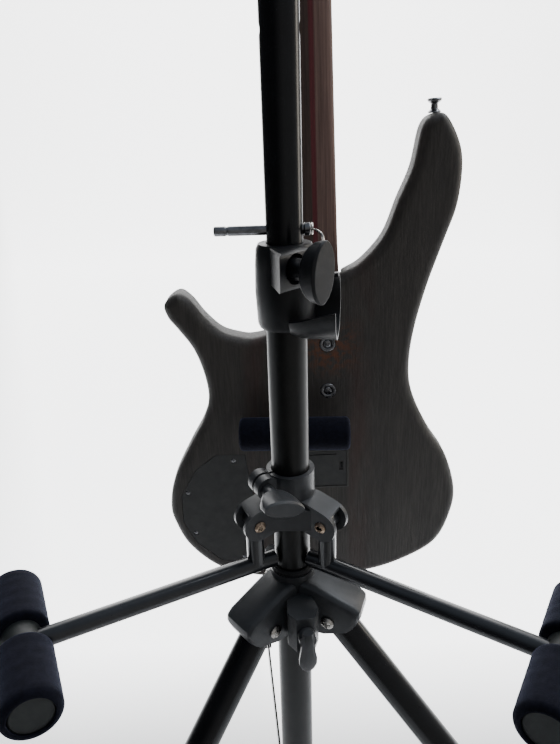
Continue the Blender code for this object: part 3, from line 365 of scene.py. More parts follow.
def board_wood_material():
    made, tree, shader = node_material("rosewood", 0.5)
    vector, _ = guitar_space(tree)
    grain = noise(tree, 600, 6, 0.65, stretched(tree, vector, 0.03))
    tree.links.new(ramp(tree, grain, [(0.3, (0.010, 0.006, 0.004)), (0.7, (0.05, 0.028, 0.018))]),
        shader.inputs["Base Color"])
    bumped(tree, shader, grain, 0.4, 0.0003)
    return made


GUITAR_WORLD = Matrix.Translation(Vector((AXIS_X + GUITAR_X, AXIS_Y + GUITAR_Y, GUITAR_Z)) * MM) @ (
    Matrix.Rotation(math.radians(90 + GUITAR_LEAN), 4, "X") @ Matrix.Rotation(math.radians(GUITAR_TILT),
        4, "Z")
)
BLACK_PAINT = paint("black_paint", (0.0025, 0.0027, 0.0036), (0.005, 0.0055, 0.007), 0.24, 0.05)
# The arms' black paint with its base colour lifted and tinted blue-grey: a painted highlight that stands in
# for the light the arms catch from above.
ARM_PAINT_PAINTED_HIGHLIGHT = paint("arm_paint", (0.010, 0.0108, 0.0125), (0.016, 0.0172, 0.020), 0.30, 0.8)
OLIVE_PAINT = paint("olive_black_paint", (0.0035, 0.0034, 0.0030), (0.007, 0.0068, 0.006), 0.34, 0.05)
# The dark cast plastic with its base colour about ten times lighter: a painted reflection that stands in for
# the light on the hub, the tripod head and their knobs.
HUB_CASTING_PAINTED_REFLECTION = plastic("hub_casting", (0.028, 0.0292, 0.031), (0.040, 0.0418, 0.0445), 0.36,
    wear=(0.04, 0.042, 0.048))
CASTING = plastic("cast_plastic", (0.0025, 0.0027, 0.0035), (0.0045, 0.005, 0.0065), 0.40,
    wear=(0.014, 0.015, 0.018))
RUBBER = plastic("black_rubber", (0.006, 0.006, 0.007), (0.010, 0.010, 0.011), 0.75, 0.5, 900)
FOAM = foam_material()
TEE_PLASTIC = plastic("tee_plastic", (0.009, 0.011, 0.0105), (0.016, 0.019, 0.018), 0.5)
STEEL = metal("bright_steel", (0.66, 0.63, 0.58), (0.38, 0.36, 0.33), 0.26)
BRASSY = metal("yellow_zinc_steel", (0.62, 0.47, 0.34), (0.32, 0.24, 0.18), 0.3)
DARK_CHROME = metal("dark_chrome", (0.30, 0.30, 0.31), (0.14, 0.14, 0.145), 0.2)
BODY_WOOD = body_wood_material()
NECK_WOOD = neck_wood_material()
BOARD_WOOD = board_wood_material()
COVER_PLASTIC = plastic("cover_plastic", (0.034, 0.034, 0.033), (0.046, 0.046, 0.044), 0.6, 0.25, 2200)
RIM_PLASTIC = plastic("rim_plastic", (0.055, 0.055, 0.05), (0.075, 0.074, 0.068), 0.5, 0.2, 2200)
BONE = plastic("synthetic_bone", (0.6, 0.56, 0.45), (0.7, 0.66, 0.55), 0.4, 0.1, 900, (0.75, 0.72, 0.62))


# ---------------------------------------------------------------- making pieces


OWN_EMPTIES = []


def empty(name, parent=None, place=(0, 0, 0), turn=None):
    made = bpy.data.objects.new(name, None)
    OWN_EMPTIES.append(made.name)
    bpy.context.collection.objects.link(made)
    made.parent = parent
    rotation = turn.to_4x4() if turn else Matrix()
    made.matrix_local = Matrix.Translation(Vector(place) * MM) @ rotation
    return made


def mesh_of(name, bm):
    bmesh.ops.recalc_face_normals(bm, faces=bm.faces)
    bmesh.ops.scale(bm, vec=(MM, MM, MM), verts=bm.verts)
    mesh = bpy.data.meshes.new(name)
    bm.to_mesh(mesh)
    bm.free()
    mesh.shade_smooth()
    mesh.set_sharp_from_angle(angle=math.radians(35))
    return mesh


FINE = "_fine"
made_pieces = []


def piece(name, bm, finish, parent, edge=0.35, node=None):
    """A piece that stands for the CAD node of the same name, with its edges rounded by edge millimetres."""
    made = bpy.data.objects.new(name + FINE, mesh_of(name, bm))
    made.data.materials.append(finish)
    bpy.context.collection.objects.link(made)
    made.parent = parent
    made_pieces.append((made, node or name, edge))
    return made


def settled(made, node, edge):
    """Applies the Booleans, moves the mesh into the shared frame, and rounds its edges."""
    bpy.context.view_layer.update()
    graph = bpy.context.evaluated_depsgraph_get()
    mesh = bpy.data.meshes.new_from_object(made.evaluated_get(graph))
    mesh.transform(made.matrix_world)
    name = made.name
    finishes = [slot.material for slot in made.material_slots]
    for cutter in list(made.children):
        bpy.data.objects.remove(cutter, do_unlink=True)
    bpy.data.objects.remove(made, do_unlink=True)
    done = bpy.data.objects.new(name, mesh)
    bpy.context.collection.objects.link(done)
    mesh.materials.clear()
    for finish in finishes:
        mesh.materials.append(finish)
    tidy = bmesh.new()
    tidy.from_mesh(mesh)
    bmesh.ops.remove_doubles(tidy, verts=tidy.verts, dist=0.00001)
    bmesh.ops.dissolve_limit(tidy, angle_limit=math.radians(0.5), verts=tidy.verts, edges=tidy.edges)
    tidy.to_mesh(mesh)
    tidy.free()
    mesh.shade_smooth()
    mesh.set_sharp_from_angle(angle=math.radians(30))
    if edge:
        bevel = done.modifiers.new("Edge", "BEVEL")
        bevel.width = edge * MM
        bevel.segments = 2
        bevel.limit_method = "ANGLE"
        bevel.angle_limit = math.radians(30)
        bevel.harden_normals = True
    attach(done, BODY_OF[node])
    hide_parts(node)
    return done


BODY_OF = {}
for body_name, members in frame["record"]["behaviour"]["bodies"].items():
    for member in members:
        BODY_OF[member] = body_name


def boolean(target, bm, operation):
    """Joins or cuts the target with bm, which is in the target's own frame."""
    name = f"{target.name}_{operation.lower()}_{len(target.modifiers)}"
    tool = bpy.data.objects.new(name, mesh_of(name, bm))
    bpy.context.collection.objects.link(tool)
    tool.parent = target
    tool.hide_render = True
    tool.display_type = "WIRE"
    modifier = target.modifiers.new(operation.title(), "BOOLEAN")
    modifier.object = tool
    modifier.operation = operation


def rounded(target, width, segments=2, angle=40):
    modifier = target.modifiers.new("Bevel", "BEVEL")
    modifier.width = width * MM
    modifier.segments = segments
    modifier.limit_method = "ANGLE"
    modifier.angle_limit = math.radians(angle)


def facing(direction, up=(0, 0, 1)):
    """A turn whose z axis is the direction, with y as near to up as it can be."""
    z = Vector(direction).normalized()
    side = Vector(up).cross(z)
    if side.length < 1e-6:
        side = Vector((1, 0, 0))
    x = side.normalized()
    return Matrix((x, z.cross(x), z)).transposed()


def at(place, direction=(0, 0, 1), up=(0, 0, 1)):
    return Matrix.Translation(Vector(place)) @ facing(direction, up).to_4x4()


def bridge(bm, rings, closed):
    """Side faces between each ring of corners and the next; a one-corner ring is a point on the axis."""
    pairs = list(zip(rings, rings[1:]))
    if closed:
        pairs.append((rings[-1], rings[0]))
    for low, high in pairs:
        count = max(len(low), len(high))
        for i in range(count):
            j = (i + 1) % count
            corners = [low[i % len(low)], low[j % len(low)], high[j % len(high)], high[i % len(high)]]
            unique = list(dict.fromkeys(corners))
            if len(unique) > 2:
                bm.faces.new(unique)


def turned(bm, profile, matrix=Matrix(), sides=48):
    """A profile of (radius, height) turned about z.

    It is closed if it keeps off the axis, and else runs from axis to axis.
    """
    rings = []
    for radius, height in profile:
        if radius == 0:
            rings.append([bm.verts.new(matrix @ Vector((0, 0, height)))])
            continue
        ring = []
        for i in range(sides):
            angle = math.tau * (i + 0.5) / sides
            ring.append(bm.verts.new(matrix @ Vector((radius * math.cos(angle),
                radius * math.sin(angle), height))))
        rings.append(ring)
    bridge(bm, rings, closed=profile[0][0] > 0)


def rod(bm, radius, low, high, matrix=Matrix(), sides=48):
    turned(bm, [(0, low), (radius, low), (radius, high), (0, high)], matrix, sides)


def pipe(bm, bore, radius, low, high, matrix=Matrix(), sides=48):
    turned(bm, [(bore, low), (radius, low), (radius, high), (bore, high)], matrix, sides)


def lofted(bm, sections):
    """Rings of points with equal counts, joined in order and closed with a face at each end."""
    rings = [[bm.verts.new(Vector(p)) for p in section] for section in sections]
    bridge(bm, rings, closed=False)
    bm.faces.new(rings[0])
    bm.faces.new(rings[-1])


def prism(bm, outline, low, high, matrix=Matrix()):
    """A flat outline of (x, y) given depth along z."""
    lofted(bm, [[matrix @ Vector((x, y, z)) for x, y in outline] for z in (low, high)])


def swept(bm, path, radius, sides=8):
    """A round wire or rod along a path of points."""
    points = [Vector(p) for p in path]
    sections = []
    across = None
    for i, point in enumerate(points):
        ahead = (points[min(i + 1, len(points) - 1)] - points[max(i - 1, 0)]).normalized()
        if across is None:
            across = ahead.orthogonal().normalized()
        across = (across - ahead * across.dot(ahead)).normalized()
        other = ahead.cross(across)
        ring = []
        for k in range(sides):
            angle = math.tau * k / sides
            ring.append(point + radius * (math.cos(angle) * across + math.sin(angle) * other))
        sections.append(ring)
    lofted(bm, sections)


def arc(centre, radius, start, end, steps):
    """Points (x, y) on an arc, angles in degrees."""
    points = []
    steps *= 3
    for i in range(steps + 1):
        angle = math.radians(start + (end - start) * i / steps)
        points.append((centre[0] + radius * math.cos(angle), centre[1] + radius * math.sin(angle)))
    return points


def quarter(steps):
    """Angles from nothing to a right angle, in radians, without the first."""
    return [math.pi / 2 * k / steps for k in range(1, steps + 1)]


def smooth_line(points, steps, closed=True):
    """A Catmull-Rom curve through the points, with steps points for each span."""
    count = len(points)
    curve = []
    for i in range(count if closed else count - 1):
        if closed:
            a, b, c, d = (Vector(points[(i + k) % count]) for k in (-1, 0, 1, 2))
        else:
            a, b, c, d = (Vector(points[min(max(i + k, 0), count - 1)]) for k in (-1, 0, 1, 2))
        for step in range(steps):
            t = step / steps
            curve.append(
                0.5 * (2 * b + (c - a) * t + (2 * a - 5 * b + 4 * c - d) * t**2
                       + (3 * b - a - 3 * c + d) * t**3)
            )
    if not closed:
        curve.append(Vector(points[-1]))
    return curve


def wing(bm, half_width, half_thick, depth, front, steps=10):
    """A wing grip about z: pointed ends along x, straight outer edge at z = front, curved inner edge."""
    sections = []
    for i in range(steps + 1):
        angle = math.pi * (i / steps - 0.5) * 0.94
        y = half_thick * math.cos(angle) + 0.4
        back = front - 1.5 - depth * math.cos(angle) ** 0.8
        chamfer = min(1.4, 0.4 * y)
        top = front - chamfer
        x = half_width * math.sin(angle)
        sections.append(
            [
                (x, -y, back + chamfer),
                (x, -y + chamfer, back),
                (x, y - chamfer, back),
                (x, y, back + chamfer),
                (x, y, top),
                (x, y - chamfer, front),
                (x, -y + chamfer, front),
                (x, -y, top),
            ]
        )
    lofted(bm, sections)


# ---------------------------------------------------------------- frame of the stand

stand = empty("stand", place=(AXIS_X, AXIS_Y, 0))


def radial(name, parent, azimuth, radius, height):
    """An empty at a radius and height whose x axis points away from the column."""
    angle = math.radians(azimuth)
    place = (radius * math.cos(angle), radius * math.sin(angle), height)
    return empty(name, parent, place, Matrix.Rotation(angle, 3, "Z"))


def spoke(azimuth):
    """Matrix of a frame at the column's axis whose x axis points along the azimuth."""
    return Matrix.Rotation(math.radians(azimuth), 4, "Z")


UPRIGHT = Matrix.Rotation(math.radians(90), 4, "X")  # an outline's (x, y) stands in the x-z plane


# ---------------------------------------------------------------- column


def make_column():
    bm = bmesh.new()
    pipe(bm, COLUMN_BORE_R, COLUMN_R, COLUMN_BOTTOM, COLUMN_TOP, sides=SLEEVE_SIDES)
    piece("column_tube", bm, OLIVE_PAINT, stand)

    bm = bmesh.new()
    pipe(bm, COLUMN_R + GAP, 19.0, BRACE_PIVOT_Z - 9, BRACE_PIVOT_Z + 9, sides=SLEEVE_SIDES)
    collar = piece("brace_collar", bm, CASTING, stand)
    ears = bmesh.new()
    pins = bmesh.new()
    outline = [(16.5, -6.5)] + arc((BRACE_PIVOT_R, 0), 6.5, -90, 90, 4) + [(16.5, 6.5)]
    for azimuth in LEG_AZIMUTHS.values():
        frame = spoke(azimuth) @ Matrix.Translation((0, 0, BRACE_PIVOT_Z))
        for side in (-1, 1):
            prism(ears, outline, side * 2.7 - 1.1, side * 2.7 + 1.1, frame @ UPRIGHT)
        across = frame @ at((BRACE_PIVOT_R, 0, 0), (0, 1, 0))
        rod(pins, 2.0, -5.0, 5.0, across, 24)
    boolean(collar, ears, "UNION")
    boolean(collar, pins, "UNION")


# ---------------------------------------------------------------- tripod

BRACE_TOP_R = (
    LEG_PIVOT_R
    + LUG_ALONG * math.sin(math.radians(LEG_ANGLE))
    - LUG_OFFSET * math.cos(math.radians(LEG_ANGLE))
)
BRACE_TOP_Z = (
    LEG_PIVOT_Z
    - LUG_ALONG * math.cos(math.radians(LEG_ANGLE))
    - LUG_OFFSET * math.sin(math.radians(LEG_ANGLE))
)


def make_leg(side, azimuth):
    """The leg's frame: z runs down along the leg, x is up and out, y lies on the hinge's axis."""
    slope = math.radians(LEG_ANGLE)
    turn = Matrix.Rotation(math.radians(azimuth), 3, "Z") @ facing(
        (math.sin(slope), 0, -math.cos(slope)), (0, -1, 0)
    )
    angle = math.radians(azimuth)
    pivot = empty(
        f"leg_{side}_hinge",
        stand,
        (LEG_PIVOT_R * math.cos(angle), LEG_PIVOT_R * math.sin(angle), LEG_PIVOT_Z),
        turn,
    )

    bm = bmesh.new()
    pipe(bm, LEG_BORE_R, LEG_R, -LEG_ABOVE_PIVOT, LEG_LENGTH - 9 - GAP)
    leg = piece(f"leg_{side}", bm, BLACK_PAINT, pivot)
    lug = bmesh.new()
    outline = [(-11.0, LUG_ALONG - 8)]
    outline += arc((-LUG_OFFSET, LUG_ALONG), 6.5, -90, -270, 6)
    outline += [(-11.0, LUG_ALONG + 8)]
    for ear in (-1, 1):
        prism(lug, outline, ear * 2.5 - 0.9, ear * 2.5 + 0.9, UPRIGHT)
    boolean(leg, lug, "UNION")
    hole = bmesh.new()
    rod(hole, 3.3, -LEG_R - CUT, LEG_R + CUT, at((0, 0, 0), (0, 1, 0)), 40)
    boolean(leg, hole, "DIFFERENCE")

    socket = LEG_R + GAP
    ball = [(FOOT_BALL_R * math.cos(a), LEG_LENGTH + FOOT_BALL_R * math.sin(a)) for a in
            (math.radians(d) for d in (70, 45, 20, -5))]
    profile = [(0, LEG_LENGTH + FOOT_BALL_R)] + ball
    profile += [(15.5, LEG_LENGTH - 14), (14.5, LEG_LENGTH - 43.5)]
    profile += [(socket, LEG_LENGTH - 43.5), (socket, LEG_LENGTH - 9), (0, LEG_LENGTH - 9)]
    bm = bmesh.new()
    turned(bm, profile)
    down = turn.inverted() @ Vector((0, 0, -1))
    cut = bmesh.ops.bisect_plane(
        bm,
        geom=bm.verts[:] + bm.edges[:] + bm.faces[:],
        plane_co=Vector((0, 0, LEG_LENGTH)) + down * FOOT_BALL_Z,
        plane_no=down,
        clear_outer=True,
    )
    bmesh.ops.contextual_create(bm, geom=[e for e in cut["geom_cut"] if isinstance(e,
        bmesh.types.BMEdge)])
    piece(f"foot_{side}", bm, RUBBER, pivot)


def make_brace(side, azimuth):
    rise = BRACE_TOP_Z - BRACE_PIVOT_Z
    reach = BRACE_TOP_R - BRACE_PIVOT_R
    length = math.hypot(rise, reach)
    angle = math.radians(azimuth)
    turn = Matrix.Rotation(angle, 3, "Z") @ facing((reach, 0, rise), (0, -1, 0))
    place = (BRACE_PIVOT_R * math.cos(angle), BRACE_PIVOT_R * math.sin(angle), BRACE_PIVOT_Z)
    pivot = empty(f"brace_{side}_hinge", stand, place, turn)
    outline = arc((0, 0), BRACE_END_R, -180, 0, 8) + arc((0, length), BRACE_END_R, 0, 180, 8)
    bm = bmesh.new()
    prism(bm, outline, -1.0, 1.0, UPRIGHT)
    brace = piece(f"brace_{side}", bm, BLACK_PAINT, pivot)
    hole = bmesh.new()
    rod(hole, 2.4, -3, 3, at((0, 0, 0), (0, 1, 0)), 40)
    boolean(brace, hole, "DIFFERENCE")


SADDLE_SIDE = [(10, -17), (22, -20), (53, -32.5), (58, -37), (58.5, -42), (55, -50), (48, -56),
    (30, -62), (10, -62)]
SADDLE_CAVITY = [(18.8, -23.5), (52, -36.5), (54.5, -40), (52, -48), (52, -75), (18.8, -75)]
SADDLE_HALF = 15.5
CAVITY_HALF = LEG_R + 0.5
HEAD_KNOB_AZIMUTH = 280.0
HEAD_KNOB_Z = -41.0
HOUSING_FACE = 46.0


def make_head():
    head = empty("head_slide", stand, (0, 0, ARM_LEVEL))
    bm = bmesh.new()
    rod(bm, 17.5, -62, -13, sides=SLEEVE_SIDES)
    casting = piece("tripod_head", bm, HUB_CASTING_PAINTED_REFLECTION, head)
    for azimuth in LEG_AZIMUTHS.values():
        saddle = bmesh.new()
        prism(saddle, SADDLE_SIDE, -SADDLE_HALF, SADDLE_HALF, spoke(azimuth) @ UPRIGHT)
        bmesh.ops.recalc_face_normals(saddle, faces=saddle.faces)
        ridge = [e for e in saddle.edges if min(v.co.z for v in e.verts) > -52 and e.calc_face_angle(0) > 1.2]
        bmesh.ops.bevel(saddle, geom=ridge, offset=5.5, segments=3, affect="EDGES", profile=0.5)
        boolean(casting, saddle, "UNION")
    housing = bmesh.new()
    outline = [(16, -9), (HOUSING_FACE - 9, -12), (HOUSING_FACE, -7)]
    outline += [(HOUSING_FACE, 7), (HOUSING_FACE - 9, 12), (16, 9)]
    prism(housing, outline, -58, -27, spoke(HEAD_KNOB_AZIMUTH))
    boolean(casting, housing, "UNION")
    space = bmesh.new()
    for azimuth in LEG_AZIMUTHS.values():
        prism(space, SADDLE_CAVITY, -CAVITY_HALF, CAVITY_HALF, spoke(azimuth) @ UPRIGHT)
    boolean(casting, space, "DIFFERENCE")
    holes = bmesh.new()
    for side, azimuth in LEG_AZIMUTHS.items():
        hinge = spoke(azimuth) @ Matrix.Translation((LEG_PIVOT_R, 0, LEG_PIVOT_Z - ARM_LEVEL))
        across = hinge @ at((0, 0, 0), (0, 1, 0))
        rod(holes, 3.3, -SADDLE_HALF - CUT, SADDLE_HALF + CUT, across, 40)
        head_face = SADDLE_HALF + GAP
        screw = [(0, -head_face - 2.6), (3.2, -head_face - 2.6), (5.2, -head_face - 1.2),
            (5.2, -head_face)]
        screw += [(3.0, -head_face), (3.0, head_face), (5.2, head_face), (5.2, head_face + 1.2)]
        screw += [(3.2, head_face + 2.6), (0, head_face + 2.6)]
        bolt = bmesh.new()
        turned(bolt, screw, across, 40)
        bolt = piece(f"leg_bolt_{side}", bolt, STEEL, head, 0.2)
        for end in (1, -1):
            slots = bmesh.new()
            tip = across @ Matrix.Translation((0, 0,
                end * (head_face + 2.6))) @ Matrix.Rotation(
                    0.5 if end > 0 else math.pi, 4, "X" if end < 0 else "Z")
            cross_slot(slots, tip, 3.0, 1.2, 1.8)
            boolean(bolt, slots, "DIFFERENCE")
    boolean(casting, holes, "DIFFERENCE")
    bore = bmesh.new()
    rod(bore, SLEEVE_BORE_R, -80, 0, sides=SLEEVE_SIDES)
    knob_frame = spoke(HEAD_KNOB_AZIMUTH) @ at((0, 0, HEAD_KNOB_Z), (1, 0, 0))
    boolean(casting, bore, "DIFFERENCE")
    hole = bmesh.new()
    rod(hole, 3.3, 5, HOUSING_FACE + CUT, knob_frame, 40)
    boolean(casting, hole, "DIFFERENCE")

    bm = bmesh.new()
    turned(bm, [(SLEEVE_BORE_R, -12.7), (16.4, -12.7), (16.4, -9.5), (15.6, -8.2),
        (SLEEVE_BORE_R, -8.2)], sides=SLEEVE_SIDES)
    piece("head_bush", bm, RUBBER, head)

    knob_axis = empty("head_knob_axis", head)
    knob_axis.matrix_local = Matrix.LocRotScale(knob_frame.translation * MM, knob_frame.to_quaternion(),
        None)
    bm = bmesh.new()
    rod(bm, 3.0, COLUMN_R + 1.0, HOUSING_FACE + 4, sides=48)
    knob = piece("head_knob", bm, HUB_CASTING_PAINTED_REFLECTION, knob_axis)
    boss = bmesh.new()
    rod(boss, 6.5, HOUSING_FACE + GAP, HOUSING_FACE + 8, sides=20)
    boolean(knob, boss, "UNION")
    paddle = bmesh.new()
    stations = [(7, 4.0, 3.4), (2, 5.5, 4.4), (-5, 5.2, 4.0), (-11, 6.0, 3.9), (-17, 7.2, 3.6),
        (-23, 7.0, 3.0)]
    stations += [(-27.5, 4.8, 2.2), (-30, 1.8, 1.2)]
    centre = HOUSING_FACE + 6.5
    sections = []
    for y, half_width, half_thick in stations:
        ring = []
        for k in range(10):
            a = math.tau * (k + 0.5) / 10
            ring.append((half_width * math.cos(a), y, centre + half_thick * math.sin(a)))
        sections.append(ring)
    lofted(paddle, sections)
    boolean(knob, paddle, "UNION")


# ---------------------------------------------------------------- hub of the cradle arms

CLEVIS_SIDE = [(10, 57), (20, 56), (34, 52)]
CLEVIS_SIDE += arc((HINGE_R, HINGE_Z), 12, 62, -105, 9) + [(18, 31), (10, 31)]
CLEVIS_CAVITY = [(19.2, 20), (19.2, 52), (32, 48.8), (38, 48), (38, 60), (60, 60), (60, 20)]
CLEVIS_HALF = 10.5
POST_SPACE_HALF = 7.1
EAR_AZIMUTH = 207.0
EAR_R = 22.5
EAR_Z = 68.5
CLAMP_R = 24.5


def make_hub():
    hub_frame = empty("hub_slide", stand, (0, 0, ARM_LEVEL))
    bm = bmesh.new()
    rod(bm, 18.0, 33, 76.5, sides=SLEEVE_SIDES)
    hub = piece("hub", bm, HUB_CASTING_PAINTED_REFLECTION, hub_frame)
    fascia = bmesh.new()
    web = [(-17.7, -20.3), (15.0, -22.0), (13, -12), (-13, -12)]
    prism(fascia, web, 34, 52)
    boolean(hub, fascia, "UNION")
    for azimuth in ARM_AZIMUTHS.values():
        clevis = bmesh.new()
        prism(clevis, CLEVIS_SIDE, -CLEVIS_HALF, CLEVIS_HALF, spoke(azimuth) @ UPRIGHT)
        boolean(hub, clevis, "UNION")
    ears = bmesh.new()
    ear_frame = spoke(EAR_AZIMUTH) @ at((EAR_R, 0, EAR_Z), (0, 1, 0))
    rod(ears, 9.0, -8.5, 8.5, ear_frame, 40)
    boolean(hub, ears, "UNION")
    space = bmesh.new()
    for azimuth in ARM_AZIMUTHS.values():
        prism(space, CLEVIS_CAVITY, -POST_SPACE_HALF, POST_SPACE_HALF, spoke(azimuth) @ UPRIGHT)
    boolean(hub, space, "DIFFERENCE")
    slot = bmesh.new()
    prism(slot, [(8, 61.5), (40, 61.5), (40, 90), (8, 90)], -1.2, 1.2, spoke(EAR_AZIMUTH) @ UPRIGHT)
    boolean(hub, slot, "DIFFERENCE")
    face = CLEVIS_HALF - 0.2
    for side, azimuth in ARM_AZIMUTHS.items():
        across = spoke(azimuth) @ at((HINGE_R, 0, HINGE_Z), (0, 1, 0))
        profile = [(0, -face - 2.2), (2.8, -face - 2.2), (4.4, -face - 1.0), (4.4, -face), (2.5, -face)]
        profile += [(2.5, face), (4.4, face), (4.4, face + 1.0), (2.8, face + 2.2), (0, face + 2.2)]
        bm = bmesh.new()
        turned(bm, profile, across, 40)
        screw = piece(f"hinge_screw_{side}", bm, BRASSY, hub_frame, 0.15, "hub")
        for end in (1, -1):
            slots = bmesh.new()
            head = across @ Matrix.Translation((0, 0,
                end * (face + 2.2))) @ Matrix.Rotation(
                    0.4 if end > 0 else math.pi, 4, "X" if end < 0 else "Z")
            cross_slot(slots, head, 2.6, 1.0, 1.5)
            boolean(screw, slots, "DIFFERENCE")
    clamp = spoke(EAR_AZIMUTH) @ at((CLAMP_R, 0, EAR_Z), (0, 1, 0))
    clamp_hole = bmesh.new()
    rod(clamp_hole, 3.4, -14, 14, clamp, 40)
    boolean(hub, clamp_hole, "DIFFERENCE")
    bore = bmesh.new()
    rod(bore, SLEEVE_BORE_R, 20, 90, sides=SLEEVE_SIDES)
    boolean(hub, bore, "DIFFERENCE")

    knob_axis = empty("hub_knob_axis", hub_frame)
    knob_axis.matrix_local = Matrix.LocRotScale(clamp.translation * MM, clamp.to_quaternion(), None)
    bm = bmesh.new()
    turned(bm, [(0, -11.5), (5.4, -11.5), (5.4, -8.8), (3.0, -8.8), (3.0, 8.8), (4.8, 8.8), (5.4, 24),
        (0, 24)])
    knob = piece("hub_knob", bm, HUB_CASTING_PAINTED_REFLECTION, knob_axis)
    grip = bmesh.new()
    wing(grip, 16.0, 6.4, 18.0, 38)
    bmesh.ops.rotate(grip, cent=(0, 0, 0), matrix=Matrix.Rotation(math.radians(-17), 3, "Z"),
        verts=grip.verts)
    boolean(knob, grip, "UNION")


def make_arm(side, azimuth):
    """The arm's frame is at its hinge: x points out, z up."""
    hinge = radial(f"arm_{side}_hinge", stand, azimuth, HINGE_R, ARM_LEVEL + HINGE_Z)
    bm = bmesh.new()
    along = at((0, 0, -HINGE_Z), (1, 0, 0))
    tee = TEE_R - HINGE_R
    rod(bm, ARM_R, 16 - HINGE_R, tee - TEE_SLEEVE_R + 4, along, 40)
    arm = piece(f"arm_{side}", bm, ARM_PAINT_PAINTED_HIGHLIGHT, hinge)
    post = bmesh.new()
    rod(post, ARM_R, -HINGE_Z, 0, sides=40)
    boolean(arm, post, "UNION")
    top = bmesh.new()
    rod(top, ARM_R - 0.02, -ARM_R + 0.3, ARM_R - 0.3, at((0, 0, 0), (0, 1, 0)), 40)
    boolean(arm, top, "UNION")
    cuts = bmesh.new()
    rod(cuts, 2.8, -ARM_R - CUT, ARM_R + CUT, at((0, 0, 0), (0, 1, 0)), 40)
    rod(cuts, 5.5, 16 - HINGE_R - CUT, tee - TEE_SLEEVE_R - 2, along, 40)
    boolean(arm, cuts, "DIFFERENCE")

    bar = at((tee, 0, -HINGE_Z), (0, 1, 0))
    bm = bmesh.new()
    face = FOAM_HALF - 1.4
    end = CROSSBAR_HALF + GAP
    profile = [(0, -face), (CAP_R - 1, -face), (CAP_R, -face + 0.8), (CAP_R, -end), (ARM_R, -end)]
    profile += [(ARM_R, -TEE_SLEEVE_HALF), (TEE_SLEEVE_R, -TEE_SLEEVE_HALF)]
    profile += [(radius, -height) for radius, height in reversed(profile)]
    turned(bm, profile, bar)
    crossbar = piece(f"crossbar_{side}", bm, TEE_PLASTIC, hinge)
    socket = bmesh.new()
    rod(socket, ARM_R + GAP, tee - TEE_SLEEVE_R - 4, tee - TEE_SLEEVE_R + 4 + GAP, along, 40)
    boolean(crossbar, socket, "DIFFERENCE")

    hole = ARM_R + GAP
    inner = TEE_SLEEVE_HALF + GAP
    for number, direction in ((1, -1), (2, 1)):
        bm = bmesh.new()
        profile = [(hole, inner), (FOAM_R - 3, inner)]
        profile += [(FOAM_R - 3 + 3 * math.sin(a), inner + 3 - 3 * math.cos(a)) for a in quarter(6)]
        for step in range(1, 20):
            height = inner + 3 + (FOAM_HALF - 6 - inner - 3) * step / 20
            profile.append((FOAM_R - 0.07 + 0.07 * math.sin(step * 1.3), height))
        profile += [(FOAM_R - 5 + 5 * math.cos(a), FOAM_HALF - 5 + 5 * math.sin(a)) for a in quarter(8)]
        profile += [(CAP_R + GAP + 0.8, FOAM_HALF), (CAP_R + GAP, FOAM_HALF - 0.8)]
        profile += [(CAP_R + GAP, CROSSBAR_HALF), (hole, CROSSBAR_HALF)]
        turned(bm, [(r, direction * h) for r, h in profile], bar)
        piece(f"foam_{side}_{number}", bm, FOAM, hinge, edge=0)


# ---------------------------------------------------------------- clutch, upper tube and safety pin

CLUTCH_BOTTOM = 187.5
CLUTCH_TOP = 243.2
CLUTCH_AZIMUTH = 318.0
CLUTCH_SIDE = -20.0
CLUTCH_KNOB_Z = 232.4
BLOCK_FACE = 26.4
GUARD_AZIMUTH = 350.0
GUARD_R = 22.0
GUARD_WALL = 2.4
GUARD_Z = 204.5
GUARD_SIDE = -12.0
GUARD_END = 36.0


